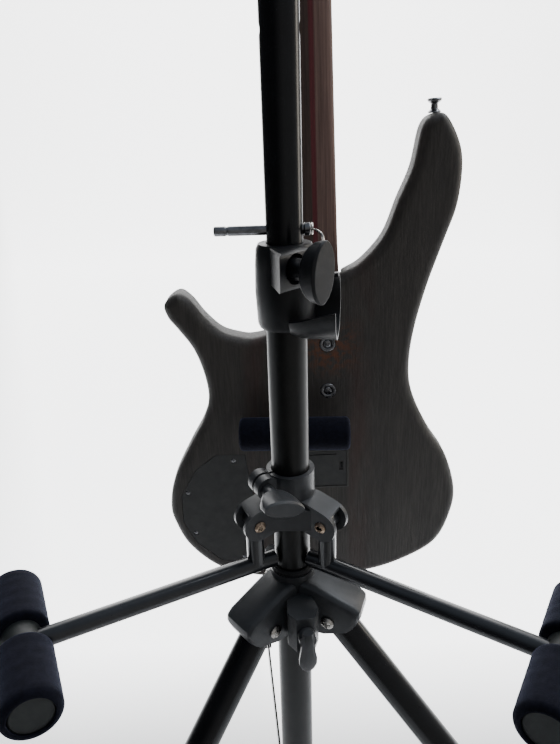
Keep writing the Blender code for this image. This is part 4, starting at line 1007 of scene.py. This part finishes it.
def make_clutch():
    frame = empty("clutch", stand, (0, 0, ARM_LEVEL))
    bm = bmesh.new()
    profile = [(0, CLUTCH_BOTTOM), (18.2, CLUTCH_BOTTOM), (19.4, 190.5), (20.4, 212), (19.9, 230)]
    profile += [(19.1, 240), (17.6, CLUTCH_TOP), (0, CLUTCH_TOP)]
    turned(bm, profile, sides=SLEEVE_SIDES)
    housing = piece("clutch_housing", bm, CASTING, frame)
    block = bmesh.new()
    outline = [(-6, -9), (4.5, -19.2), (BLOCK_FACE, -35), (BLOCK_FACE, -5), (2, 8)]
    prism(block, outline, 219.5, CLUTCH_TOP - 0.4, spoke(CLUTCH_AZIMUTH))
    top_edges = [e for e in block.edges if min(v.co.z for v in e.verts) > 240 or e.calc_length() > 28.5]
    bmesh.ops.bevel(block, geom=top_edges, offset=2.2, segments=2, affect="EDGES", profile=0.5)
    boolean(housing, block, "UNION")
    guard = bmesh.new()
    sections = []
    stations = [(6, 19.5, 1.5, -158), (14, 21.6, 0.3, -166), (GUARD_END, GUARD_R, 0, -183)]
    for x, radius, inward_shift, front_edge in stations:
        outline = arc((0, 0), radius, 95, front_edge, 16) + arc((0, 0), radius - GUARD_WALL, front_edge,
            95, 16)
        frame_there = spoke(GUARD_AZIMUTH) @ Matrix.Translation((x, GUARD_SIDE + inward_shift, GUARD_Z))
        sections.append([frame_there @ Vector((0, y, z)) for y, z in outline])
    lofted(guard, sections)
    boolean(housing, guard, "UNION")
    bore = bmesh.new()
    profile = [(0, 150), (COLUMN_R + GAP, 150), (COLUMN_R + GAP, 236.4), (UPPER_R + 0.4, 236.4)]
    profile += [(UPPER_R + 0.4, 260), (0, 260)]
    turned(bore, profile, sides=SLEEVE_SIDES)
    boolean(housing, bore, "DIFFERENCE")
    axis = spoke(CLUTCH_AZIMUTH) @ at((0, CLUTCH_SIDE, CLUTCH_KNOB_Z), (1, 0, 0))
    recess = bmesh.new()
    profile = [(0, 14), (3.4, 14), (3.4, BLOCK_FACE - 7), (9.5, BLOCK_FACE - 7), (9.5, BLOCK_FACE + 4)]
    profile += [(0, BLOCK_FACE + 4)]
    turned(recess, profile, axis)
    boolean(housing, recess, "DIFFERENCE")

    knob_axis = empty("clutch_knob_axis", frame)
    knob_axis.matrix_local = Matrix.LocRotScale(axis.translation * MM, axis.to_quaternion(), None)
    bm = bmesh.new()
    profile = [(0, 15), (3.0, 15), (3.0, BLOCK_FACE - 6), (7.0, BLOCK_FACE - 6), (6.6, BLOCK_FACE + 14)]
    turned(bm, profile + [(0, BLOCK_FACE + 14)])
    knob = piece("clutch_knob", bm, CASTING, knob_axis)
    grip = bmesh.new()
    wing(grip, 18.8, 10.5, 11.0, BLOCK_FACE + 22)
    bmesh.ops.rotate(grip, cent=(0, 0, 0), matrix=Matrix.Rotation(math.radians(83), 3, "Z"),
        verts=grip.verts)
    boolean(knob, grip, "UNION")


def make_upper_tube():
    frame = empty("upper_tube_slide", stand, (0, 0, 0))
    bm = bmesh.new()
    pipe(bm, UPPER_BORE_R, UPPER_R, UPPER_TUBE_BOTTOM, UPPER_TUBE_TOP, sides=SLEEVE_SIDES)
    tube = piece("upper_tube", bm, BLACK_PAINT, frame)
    holes = bmesh.new()
    for i in range(3):
        rod(holes, 3.5, -20, 20, at((0, 0, PIN_LEVEL + i * HOLE_PITCH), (1, 0, 0)), 40)
    boolean(tube, holes, "DIFFERENCE")

    pin_frame = empty("safety_pin_slide", frame, (0, 0, PIN_LEVEL))
    along = at((0, 0, 0), (1, 0, 0))
    bm = bmesh.new()
    profile = [(0, -45.5), (2.6, -45.5), (3.2, -44.8), (3.2, -38.2), (2.8, -37.6), (2.8, -36.6),
        (3.2, -36)]
    profile += [(3.2, 12.6), (4.2, 13), (4.2, 16.5), (0, 16.5)]
    turned(bm, profile, along, 40)
    piece("safety_pin", bm, DARK_CHROME, pin_frame)
    bm = bmesh.new()
    route = [(17.9, -3.2, 0), (20, -8, 0.4), (23.5, -12, -2), (24, -16, -6), (23, -19, -10),
        (21, -20, -14)]
    swept(bm, smooth_line(route, 3, closed=False), 0.75, 6)
    lanyard = piece("pin_lanyard", bm, STEEL, pin_frame)
    eye = bmesh.new()
    ring = []
    for k in range(12):
        a = math.tau * k / 12
        ring.append((17.9, 3.2 * math.cos(a), 3.2 * math.sin(a)))
    rings = []
    for k, point in enumerate(ring):
        out = Vector((0, point[1], point[2])).normalized()
        section = []
        for j in range(6):
            b = math.tau * j / 6
            section.append(eye.verts.new(
                Vector(point) + 0.8 * (math.cos(b) * out + math.sin(b) * Vector((1, 0, 0)))))
        rings.append(section)
    bridge(eye, rings, closed=True)
    boolean(lanyard, eye, "UNION")


# ---------------------------------------------------------------- yoke head on top

YOKE_HALF = 41.0
YOKE_ROOT = 156.0
PRONG_END = 268.0
ROD_R = 4.0


def make_yokes(upper):
    frame = empty("yoke_frame", upper, (0, 0, YOKE_LEVEL))
    bm = bmesh.new()
    profile = [(UPPER_R + GAP, -42), (17, -42), (19.5, -39), (20.5, -14), (20.5, 10), (18, 16),
        (10, 19), (0, 20)]
    profile = [(0, -27.7), (UPPER_R + GAP, -27.7)] + profile
    turned(bm, profile, sides=SLEEVE_SIDES)
    head = piece("yoke_head", bm, CASTING, frame)
    holes = bmesh.new()
    for azimuth in YOKE_AZIMUTHS.values():
        rod(holes, ROD_R + GAP, 9.0, 30, spoke(azimuth) @ at((0, 0, 0), (1, 0, 0)), 40)
    boolean(head, holes, "DIFFERENCE")
    for name, azimuth in YOKE_AZIMUTHS.items():
        bm = bmesh.new()
        path = [(PRONG_END, YOKE_HALF, 0), (YOKE_ROOT + YOKE_HALF, YOKE_HALF, 0)]
        bend = arc((YOKE_ROOT + YOKE_HALF, 0), YOKE_HALF, 90, 270, 8)
        path += [(x, y, 0) for x, y in bend[1:-1]]
        path += [(YOKE_ROOT + YOKE_HALF, -YOKE_HALF, 0), (PRONG_END, -YOKE_HALF, 0)]
        swept(bm, path, ROD_R, 8)
        axis = empty(f"yoke_{name}_axis", frame, turn=Matrix.Rotation(math.radians(azimuth), 3, "Z"))
        fork = piece(f"yoke_{name}", bm, BLACK_PAINT, axis)
        stem = bmesh.new()
        rod(stem, ROD_R, 9.5, YOKE_ROOT + 1, at((0, 0, 0), (1, 0, 0)), 24)
        boolean(fork, stem, "UNION")
        sleeves = bmesh.new()
        for side in (-1, 1):
            profile = [(0, 204), (7.2, 204), (8.0, 205), (8.0, PRONG_END), (7, PRONG_END + 3),
                (0, PRONG_END + 4)]
            turned(sleeves, profile, at((0, side * YOKE_HALF, 0), (1, 0, 0)), 40)
        boolean(fork, sleeves, "UNION")


# ---------------------------------------------------------------- guitar

BODY_OUTLINE = [
    (129, 324.5), (117, 314), (109, 277), (96, 246), (82, 211), (59, 185), (38, 173), (18, 157), (-2,
        139),
    (-22, 122), (-42, 110), (-61, 106), (-74, 108), (-93, 115), (-110, 132), (-124, 152), (-137, 160),
    (-152, 149), (-150, 134), (-140, 119), (-126, 96), (-117, 65), (-115, 35), (-124, 7), (-142, -24),
    (-165, -68), (-174, -104), (-172, -130), (-157, -168), (-122, -204), (-74, -221), (-6, -228),
    (73, -219), (126, -198), (157, -173), (172, -133), (174, -98), (161, -53), (140, -18), (119, 28),
    (113, 63), (117, 107), (129, 157), (144, 203), (156, 242), (157, 287), (142, 320),
]
COVER_OUTLINE = [
    (-78, -36), (-112, -35), (-138, -55), (-158, -90), (-160, -128), (-146, -160), (-118, -188), (-82,
        -196),
    (-72, -176), (-76, -140), (-72, -90),
]
LID = (-16.0, 42.0, -84.0, -36.5)  # left, right, bottom, top
NECK_SCREWS = [(x, y) for x in (-21.4, 21.4) for y in (42, 98)]
COVER_SCREWS = [(-92, -44), (-150, -86), (-146, -145), (-88, -185)]
KNOBS = {"volume": (-78, -80), "balance": (-105, -115), "tone": (-128, -150)}
KEY_Y = [758, 806, 854]


def neck_half(y):
    return 39.0 - (y - 46) * 10.0 / (NUT_Y - 46)


def inward(points):
    """The direction into a counter-clockwise outline at each of its points."""
    count = len(points)
    normals = []
    for i in range(count):
        along = (points[(i + 1) % count] - points[i - 1]).normalized()
        normals.append(Vector((-along.y, along.x)))
    return normals


def inset(points, distance):
    """Each corner of a counter-clockwise outline moved inwards by the distance."""
    return [point + normal * distance for point, normal in zip(points, inward(points))]


def edge_room(points, most):
    """How far each point can move inwards, up to most, before it meets the far side of a narrow tip."""
    normals = inward(points)
    room = []
    for point, normal in zip(points, normals):
        least = most
        for other in points:
            apart = other - point
            ahead = apart.dot(normal)
            if ahead > 0.01:
                least = min(least, 0.92 * apart.length_squared / (2 * ahead))
        room.append(least)
    for _ in range(6):
        room = [min(r, (room[i - 1] + r + room[(i + 1) % len(room)]) / 3) for i, r in enumerate(room)]
    return room


def make_body(guitar):
    outline = smooth_line(BODY_OUTLINE, 6)
    bm = bmesh.new()
    sections = []
    steps = 9
    room = edge_room(outline, BODY_ROUND)
    rows = list(zip(outline, inward(outline), room))
    for face, direction, order in ((0.0, -1, range(steps + 1)), (-BODY_THICK, 1, range(steps, -1, -1))):
        for i in order:
            a = math.radians(90 * i / steps)
            ring = []
            for p, normal, reach in rows:
                q = p + normal * reach * (1 - math.sin(a))
                ring.append((q.x, q.y, face + direction * BODY_ROUND * (1 - math.cos(a))))
            sections.append(ring)
    lofted(bm, sections)
    body = piece("guitar_body", bm, BODY_WOOD, guitar)

    pocket = bmesh.new()
    half = neck_half(HEEL_END) + GAP
    prism(pocket, [(-half, HEEL_END - GAP), (half, HEEL_END - GAP), (half, 230), (-half, 230)],
        -BODY_THICK - 1, -19)
    boolean(body, pocket, "DIFFERENCE")
    pockets = bmesh.new()
    for y in PICKUPS.values():
        w, h = PICKUP_HALF_W + 0.5, PICKUP_HALF_H + 0.5
        prism(pockets, [(-w, y - h), (w, y - h), (w, y + h), (-w, y + h)], -BODY_THICK - 1,
            -BODY_THICK + 10)
    left, right, bottom, top = LID
    lid = [(left - GAP, bottom - GAP), (right + GAP, bottom - GAP), (right + GAP, top + GAP),
        (left - GAP, top + GAP)]
    prism(pockets, lid, -3.0, 1)
    cover = inset([Vector(p) for p in COVER_OUTLINE], -GAP)
    prism(pockets, [(p.x, p.y) for p in cover], -2.6, 1)
    for x, y in NECK_SCREWS:
        rod(pockets, 9.3, -3.0, 1, Matrix.Translation((x, y, 0)), 40)
    boolean(body, pockets, "DIFFERENCE")
    cavities = bmesh.new()
    cell = [(left + 4, bottom + 12), (right - 5, bottom + 12), (right - 5, top - 4), (left + 4, top - 4)]
    prism(cavities, cell, -23, -2)
    cavity = inset([Vector(p) for p in COVER_OUTLINE], 13)
    prism(cavities, [(p.x, p.y) for p in cavity], -31, -2)
    boolean(body, cavities, "DIFFERENCE")
    shafts = bmesh.new()
    for x, y in KNOBS.values():
        rod(shafts, 3.6, -BODY_THICK - 1, -28, Matrix.Translation((x, y, 0)), 40)
    boolean(body, shafts, "DIFFERENCE")


PICKUPS = {"neck": -12.0, "bridge": -112.0}
PICKUP_HALF_W = 50.0
PICKUP_HALF_H = 16.0


def neck_section(y, half, back, corner):
    """The neck's cross-section at y: flat face, full sides, rounded back."""
    shoulder = NECK_FACE + (back - NECK_FACE) * corner
    points = [(-half, y, NECK_FACE), (half, y, NECK_FACE),
        (half, y, NECK_FACE + (shoulder - NECK_FACE) * 0.6)]
    for k in range(1, 20):
        a = math.pi * k / 20
        points.append((half * math.cos(a), y, shoulder + (back - shoulder) * math.sin(a) ** 0.7))
    points.append((-half, y, NECK_FACE + (shoulder - NECK_FACE) * 0.6))
    return points


HEAD_HALF = [
    (NUT_Y + 5, 29.0), (NUT_Y + 19, 30.5), (NUT_Y + 40, 44), (NUT_Y + 60, 50), (NUT_Y + 120, 48),
    (NUT_Y + 175, 43), (HEAD_TOP - 12, 34), (HEAD_TOP, 16),
]


def make_neck(guitar):
    bm = bmesh.new()
    sections = [neck_section(HEEL_END, neck_half(HEEL_END), -19.3, 0.85)]
    sections.append(neck_section(150, neck_half(150), -19.3, 0.85))
    sections.append(neck_section(182, neck_half(182), -22.5, 0.55))
    sections.append(neck_section(215, neck_half(215), NECK_BACK, 0.3))
    for y in (330, 450, 570, NUT_Y - 40):
        sections.append(neck_section(y, neck_half(y), NECK_BACK + (y - 215) / 260, 0.3))
    sections.append(neck_section(NUT_Y - 8, neck_half(NUT_Y), -24.4, 0.3))
    for y, half in HEAD_HALF:
        sections.append(neck_section(y, half, -25.2, 0.9))
    lofted(bm, sections)
    piece("neck", bm, NECK_WOOD, guitar)
    tuners = bmesh.new()
    posts = bmesh.new()
    for side in (-1, 1):
        for y in KEY_Y:
            place = Matrix.Translation((side * 30, y, 0))
            prism(tuners, [(-10, -9), (10, -9), (10, 9), (-10, 9)], -27, -13, place)
            rod(posts, 5.0, -56, -30, place, 40)
    piece("tuner_housings", tuners, DARK_CHROME, guitar, 0.6, "neck")
    piece("tuner_posts", posts, STEEL, guitar, 0.3, "neck")

    bm = bmesh.new()
    sections = []
    for y in (HEEL_END + 4, NUT_Y - 0.2):
        half = neck_half(y)
        low = NECK_FACE - GAP
        sections.append([(-half, y, low), (half, y, low), (half, y, BOARD_FACE + 0.6),
            (-half, y, BOARD_FACE + 0.6)])
    lofted(bm, sections)
    piece("fretboard", bm, BOARD_WOOD, guitar)

    frets = bmesh.new()
    scale = NUT_Y - SADDLE_Y
    for n in range(1, FRETS + 1):
        y = SADDLE_Y + scale * 2 ** (-n / 12)
        half = neck_half(y) - 1.0
        sections = []
        for x, drop in ((-half, 0.6), (half, 0.6)):
            low = BOARD_FACE + drop + 0.4
            sections.append([(x, y - 1.3, low), (x, y + 1.3, low), (x, y, low - 1.6)])
        lofted(frets, sections)
    piece("frets", frets, STEEL, guitar, 0, "fretboard")

    bm = bmesh.new()
    half = neck_half(NUT_Y)
    prism(bm, [(-half, NUT_Y), (half, NUT_Y), (half, NUT_Y + 4.5), (-half, NUT_Y + 4.5)], -50.0,
        NECK_FACE - GAP)
    return piece("nut_and_strings", bm, BONE, guitar)


def string_lane(i):
    """A string's distance from the centre line, as a share of the half width."""
    return (i - (STRINGS - 1) / 2) / ((STRINGS - 1) / 2)


def make_strings(guitar, nut):
    strings = bmesh.new()
    for i in range(STRINGS):
        lane = string_lane(i)
        side = -1 if i < STRINGS / 2 else 1
        post_y = KEY_Y[i] if i < STRINGS / 2 else KEY_Y[STRINGS - 1 - i]
        gauge = 1.3 - 0.16 * i
        path = [(lane * 45, SADDLE_Y - 20, -53.2), (lane * 45, SADDLE_Y, -53.4)]
        path += [(lane * 23.5, NUT_Y + 2, -50.2), (side * 25, post_y - 3, -48.2)]
        swept(strings, path, gauge, 6)
    piece("strings", strings, STEEL, guitar, 0, "nut_and_strings")

    face = -BODY_THICK - GAP
    bm = bmesh.new()
    half = 45 + 9
    low, high = SADDLE_Y - 40, SADDLE_Y + 20
    prism(bm, [(-half, low), (half, low), (half, high), (-half, high)], face - 3, face)
    plate = piece("bridge", bm, DARK_CHROME, guitar)
    blocks = bmesh.new()
    inside = face - 1.5
    profile = [(SADDLE_Y - 38, inside), (SADDLE_Y - 38, -50.5), (SADDLE_Y - 24, -50.5),
        (SADDLE_Y - 20, -46)]
    profile += [(SADDLE_Y - 6, -46), (SADDLE_Y - 6, -51.6), (SADDLE_Y + 3, -51.6), (SADDLE_Y + 5, inside)]
    turn = Matrix(((0, 0, 1), (1, 0, 0), (0, 1, 0))).to_4x4()
    for i in range(STRINGS):
        prism(blocks, profile, -7.8, 7.8, Matrix.Translation((string_lane(i) * 45, 0, 0)) @ turn)
    boolean(plate, blocks, "UNION")


def make_fittings(guitar):
    for name, y in PICKUPS.items():
        bm = bmesh.new()
        w, h = PICKUP_HALF_W, PICKUP_HALF_H
        prism(bm, [(-w, y - h), (w, y - h), (w, y + h), (-w, y + h)], -44.0, -BODY_THICK + 9.5)
        pickup = piece(f"pickup_{name}", bm, CASTING, guitar)
        rounded(pickup, 1.5)

    bm = bmesh.new()
    prism(bm, COVER_OUTLINE, -2.3, -0.1)
    cover = piece("control_cover", bm, COVER_PLASTIC, guitar)
    holes = bmesh.new()
    for x, y in COVER_SCREWS:
        rod(holes, 3.2, -1.6, 1, Matrix.Translation((x, y, 0)), 40)
    boolean(cover, holes, "DIFFERENCE")

    left, right, bottom, top = LID
    hinge = empty("battery_lid_hinge", guitar, (left, (bottom + top) / 2, -0.2))
    bm = bmesh.new()
    high = (top - bottom) / 2
    prism(bm, [(0.2, -high), (right - left, -high), (right - left, high), (0.2, high)], -2.2, 0.0)
    lid = piece("battery_lid", bm, COVER_PLASTIC, hinge)
    catch = bmesh.new()
    end = right - left
    prism(catch, [(end - 9, -2), (end - 4.5, -2), (end - 4.5, 10), (end - 9, 10)], -1.4, 1.0)
    prism(catch, [(1.5, high - 4.6), (end - 12, high - 4.6), (end - 12, high - 3.4), (1.5, high - 3.4)],
        -1.0, 1.0)
    boolean(lid, catch, "DIFFERENCE")
    bm = bmesh.new()
    prism(bm, [(end - 6.8, 1), (end - 4.8, 1), (end - 4.8, 7), (end - 6.8, 7)], -1.6, -0.2)
    piece("battery_catch", bm, RUBBER, hinge, 0.1, "battery_lid")
    rim = bmesh.new()
    for box in ((left - 1.9, left - 0.7, bottom - 1.9, top + 1.9),
        (right + 0.7, right + 1.9, bottom - 1.9, top + 1.9),
                (left - 0.7, right + 0.7, bottom - 1.9, bottom - 0.7), (left - 0.7, right + 0.7,
                    top + 0.7, top + 1.9)):
        prism(rim, [(box[0], box[2]), (box[1], box[2]), (box[1], box[3]), (box[0], box[3])], -1.0, 0.35)
    piece("battery_rim", rim, RIM_PLASTIC, guitar, 0.15, "guitar_body")

    bm = bmesh.new()
    middle = -BODY_THICK / 2
    buttons = {"horn": ((130, 325.0, middle), (-0.03, 1, 0)), "tail": ((-6, -229.5, middle), (0, -1, 0))}
    for name, (place, direction) in buttons.items():
        bm = bmesh.new()
        profile = [(0, 0), (6.2, 0), (6.2, 1.2), (3.6, 3.5), (3.4, 8), (6.6, 10.5), (7.0, 12),
            (6.2, 13.2), (0, 13.6)]
        turned(bm, profile, at(place, direction), 40)
        piece(f"strap_button_{name}", bm, DARK_CHROME, guitar)

    for name, (x, y) in KNOBS.items():
        axis = empty(f"knob_{name}_axis", guitar, (x, y, -BODY_THICK), Matrix.Rotation(math.pi, 3, "X"))
        bm = bmesh.new()
        profile = [(0, -8), (3.2, -8), (3.2, 0.4), (9.0, 0.4), (8.6, 13.5), (7.4, 15), (0, 15)]
        turned(bm, profile, sides=20)
        piece(f"knob_{name}", bm, DARK_CHROME, axis)

    for side, label in ((-1, "left"), (1, "right")):
        for n, y in enumerate(KEY_Y):
            place = (side * 43.5, y, -18.5)
            turn = facing((side, 0, 0), (0, 1, 0))
            axis = empty(f"tuner_key_{label}_{n + 1}_axis", guitar, place, turn)
            bm = bmesh.new()
            stations = [(0, 2.4, 2.4), (10, 2.4, 2.4), (12, 5, 2.4), (19, 10.5, 3.0), (26, 10.5, 2.6),
                (31, 7, 2.0)]
            sections = []
            for z, half_y, half_z in stations:
                ring = []
                for k in range(10):
                    a = math.tau * k / 10
                    ring.append((half_z * math.cos(a), half_y * math.sin(a), z))
                sections.append(ring)
            lofted(bm, sections)
            piece(f"tuner_key_{label}_{n + 1}", bm, DARK_CHROME, axis)


def cross_slot(bm, matrix, reach, width, depth):
    """A plus-shaped bar that cuts a screw's recess, going down from z = 0 of the matrix."""
    w = width / 2
    quarter_turn = [(reach, -w), (reach, w), (w, w)]
    outline = []
    for k in range(4):
        spin = Matrix.Rotation(k * math.pi / 2, 2)
        outline += [tuple(spin @ Vector(p)) for p in quarter_turn]
    prism(bm, outline, -depth, 1.0, matrix)


def make_screws(guitar):
    for n, (x, y) in enumerate(NECK_SCREWS):
        place = Matrix.Translation((x, y, 0))
        bm = bmesh.new()
        ring = [(4.9, -2.7), (9.0, -2.7), (9.0, -0.5), (8.4, 0.2), (7.4, 0.4), (5.6, 0.1), (5.0, -0.5)]
        turned(bm, ring, place, 48)
        piece(f"neck_ferrule_{n + 1}", bm, DARK_CHROME, guitar, 0.15, "guitar_body")
        bm = bmesh.new()
        head = [(0, -2.7), (4.6, -2.7), (4.6, -0.9), (3.8, 0.1), (2.0, 0.6), (0, 0.8)]
        turned(bm, head, place, 40)
        screw = piece(f"neck_screw_{n + 1}", bm, DARK_CHROME, guitar, 0.08, "guitar_body")
        slot = bmesh.new()
        cross_slot(slot, place @ Matrix.Translation((0, 0, 0.4)) @ Matrix.Rotation(0.5 + n, 4, "Z"),
            2.4, 0.9, 1.4)
        boolean(screw, slot, "DIFFERENCE")
    for n, (x, y) in enumerate(COVER_SCREWS):
        place = Matrix.Translation((x, y, -1.2))
        bm = bmesh.new()
        turned(bm, [(0, -0.3), (2.9, -0.3), (2.9, 0.3), (2.2, 0.9), (1.0, 1.15), (0, 1.2)], place, 32)
        screw = piece(f"cover_screw_{n + 1}", bm, DARK_CHROME, guitar, 0.05, "control_cover")
        slot = bmesh.new()
        cross_slot(slot, place @ Matrix.Translation((0, 0, 0.9)) @ Matrix.Rotation(0.3 + 2 * n, 4, "Z"),
            1.4, 0.5, 0.7)
        boolean(screw, slot, "DIFFERENCE")


def make_guitar():
    turn = Matrix.Rotation(math.radians(90 + GUITAR_LEAN), 3, "X") @ Matrix.Rotation(
        math.radians(GUITAR_TILT), 3, "Z"
    )
    guitar = empty("guitar", stand, (GUITAR_X, GUITAR_Y, GUITAR_Z), turn)
    make_body(guitar)
    nut = make_neck(guitar)
    make_strings(guitar, nut)
    make_fittings(guitar)
    make_screws(guitar)


make_column()
make_head()
for side, azimuth in LEG_AZIMUTHS.items():
    make_leg(side, azimuth)
    make_brace(side, azimuth)
make_hub()
for side, azimuth in ARM_AZIMUTHS.items():
    make_arm(side, azimuth)
make_clutch()
make_upper_tube()
make_yokes(bpy.data.objects["upper_tube_slide"])
make_guitar()

# ---------------------------------------------------------------- finishing, camera and light

for made, node, edge in list(made_pieces):
    settled(made, node, edge)
for leftover in [o for o in bpy.data.objects if o.type == "EMPTY" and o.name in OWN_EMPTIES]:
    bpy.data.objects.remove(leftover, do_unlink=True)


def make_camera():
    lens = bpy.data.cameras.new("camera")
    lens.lens = 29.23
    lens.sensor_width = 36.0
    lens.sensor_height = 36.0
    lens.sensor_fit = "VERTICAL"
    lens.clip_start = 0.01
    camera = bpy.data.objects.new("camera", lens)
    bpy.context.collection.objects.link(camera)
    right = Vector((0.99954992, -0.00883171, -0.02866983))
    up = Vector((0.02991352, 0.36564686, 0.93027284))
    ahead = Vector((-0.00226713, 0.93071176, -0.36574647))
    turn = Matrix((right, up, -ahead)).transposed().to_4x4()
    place = Vector((-4.567 + AXIS_X, -395.672 + AXIS_Y, 308.529 + ARM_LEVEL)) * MM
    camera.matrix_world = Matrix.Translation(place) @ turn
    bpy.context.scene.camera = camera


def area_light(name, place, target, size, power, colour, size_y=None):
    data = bpy.data.lights.new(name, "AREA")
    data.shape = "RECTANGLE"
    data.size = size
    data.size_y = size_y or size
    data.energy = power
    data.color = colour
    light = bpy.data.objects.new(name, data)
    bpy.context.collection.objects.link(light)
    light.matrix_world = Matrix.Translation(Vector(place)) @ facing(Vector(place) - Vector(target)).to_4x4()


# The floor's extent and sweep in metres, and how strongly its bright area gives off light
FLOOR_FRONT, SWEEP_START, SWEEP_BEND, SWEEP_TOP = -0.7, 4.0, 2.0, 7.0
FLOOR_HALF_WIDTH = 3.0
FLOOR_GLOW = 3.4


def make_room():
    """The floor with its sweep, the world and three lights.

    The floor isn't evenly lit: it gives off light in a wedge behind the object as the camera sees it. The
    world is darker towards one side and above. Both imitate the photograph's background and tones.
    """
    bm = bmesh.new()
    height, bend = SWEEP_TOP, SWEEP_BEND
    curve = [(FLOOR_FRONT, 0.0), (SWEEP_START, 0.0)]
    curve += [(SWEEP_START + bend * math.sin(a), bend - bend * math.cos(a))
              for a in (math.pi / 24 * k for k in range(1, 13))]
    curve.append((SWEEP_START + bend, height))
    rows = [[bm.verts.new((x, y, z)) for x in (-FLOOR_HALF_WIDTH, FLOOR_HALF_WIDTH)] for y, z in curve]
    for low, high in zip(rows, rows[1:]):
        bm.faces.new((low[0], low[1], high[1], high[0]))
    mesh = bpy.data.meshes.new("floor")
    bm.to_mesh(mesh)
    bm.free()
    mesh.shade_smooth()
    floor = bpy.data.objects.new("floor", mesh)
    bpy.context.collection.objects.link(floor)
    pale, tree, shader = node_material("pale_floor", 0.9, specular=0.1)
    colour = ramp(tree, noise(tree, 3, 3), [(0.3, (0.91, 0.91, 0.91)), (0.7, (0.94, 0.94, 0.94))])
    tree.links.new(colour, shader.inputs["Base Color"])
    shader.inputs["Emission Color"].default_value = (1.0, 1.0, 1.0, 1.0)
    where = tree.nodes.new("ShaderNodeSeparateXYZ")
    tree.links.new(tree.nodes.new("ShaderNodeTexCoord").outputs["Object"], where.inputs["Vector"])
    reach = maths(tree, "SUBTRACT", maths(tree, "ABSOLUTE", where.outputs["X"]),
        maths(tree, "MULTIPLY", where.outputs["Y"], 0.42))
    glow = ramp(tree, maths(tree, "MULTIPLY", reach, 0.5), [(0.15, grey(1.0)), (0.45, grey(0.0))])
    behind = ramp(tree, where.outputs["Y"], [(0.12, grey(0.0)), (0.38, grey(1.0))])
    glow = maths(tree, "MULTIPLY", glow, behind)
    tree.links.new(maths(tree, "MULTIPLY", glow, FLOOR_GLOW), shader.inputs["Emission Strength"])
    floor.data.materials.append(pale)
    world = bpy.data.worlds.new("studio")
    world.use_nodes = True
    tree = world.node_tree
    direction = tree.nodes.new("ShaderNodeSeparateXYZ")
    tree.links.new(tree.nodes.new("ShaderNodeTexCoord").outputs["Generated"], direction.inputs["Vector"])
    bright = ramp(tree, direction.outputs["Y"], [(0.0, grey(0.36)), (0.35, grey(0.42))])
    sideways = maths(tree, "MULTIPLY_ADD", direction.outputs["X"], 0.5)
    bright = mixed(tree, ramp(tree, sideways, [(0.25, grey(0.1)), (0.62, grey(1.0))]),
        (0.02, 0.02, 0.025), bright)
    high = ramp(tree, direction.outputs["Z"], [(0.25, grey(0.0)), (0.9, grey(1.0))])
    bright = mixed(tree, high, bright, (0.26, 0.30, 0.36))
    tree.links.new(bright, tree.nodes["Background"].inputs["Color"])
    tree.nodes["Background"].inputs["Strength"].default_value = 1.0
    bpy.context.scene.world = world
    aim = (0, 0, 0.7)
    area_light("window", (1.3, 0.2, 2.6), aim, 1.2, 38, (0.86, 0.92, 1.0), 1.8)
    area_light("lamp", (2.2, 0.9, 1.2), aim, 0.6, 16, (1.0, 0.92, 0.80), 1.6)
    area_light("backdrop_light", (0, 3.2, 3.6), (0, 3.6, 0), 6.0, 120, (1.0, 1.0, 1.0), 4.0)


make_camera()
make_room()
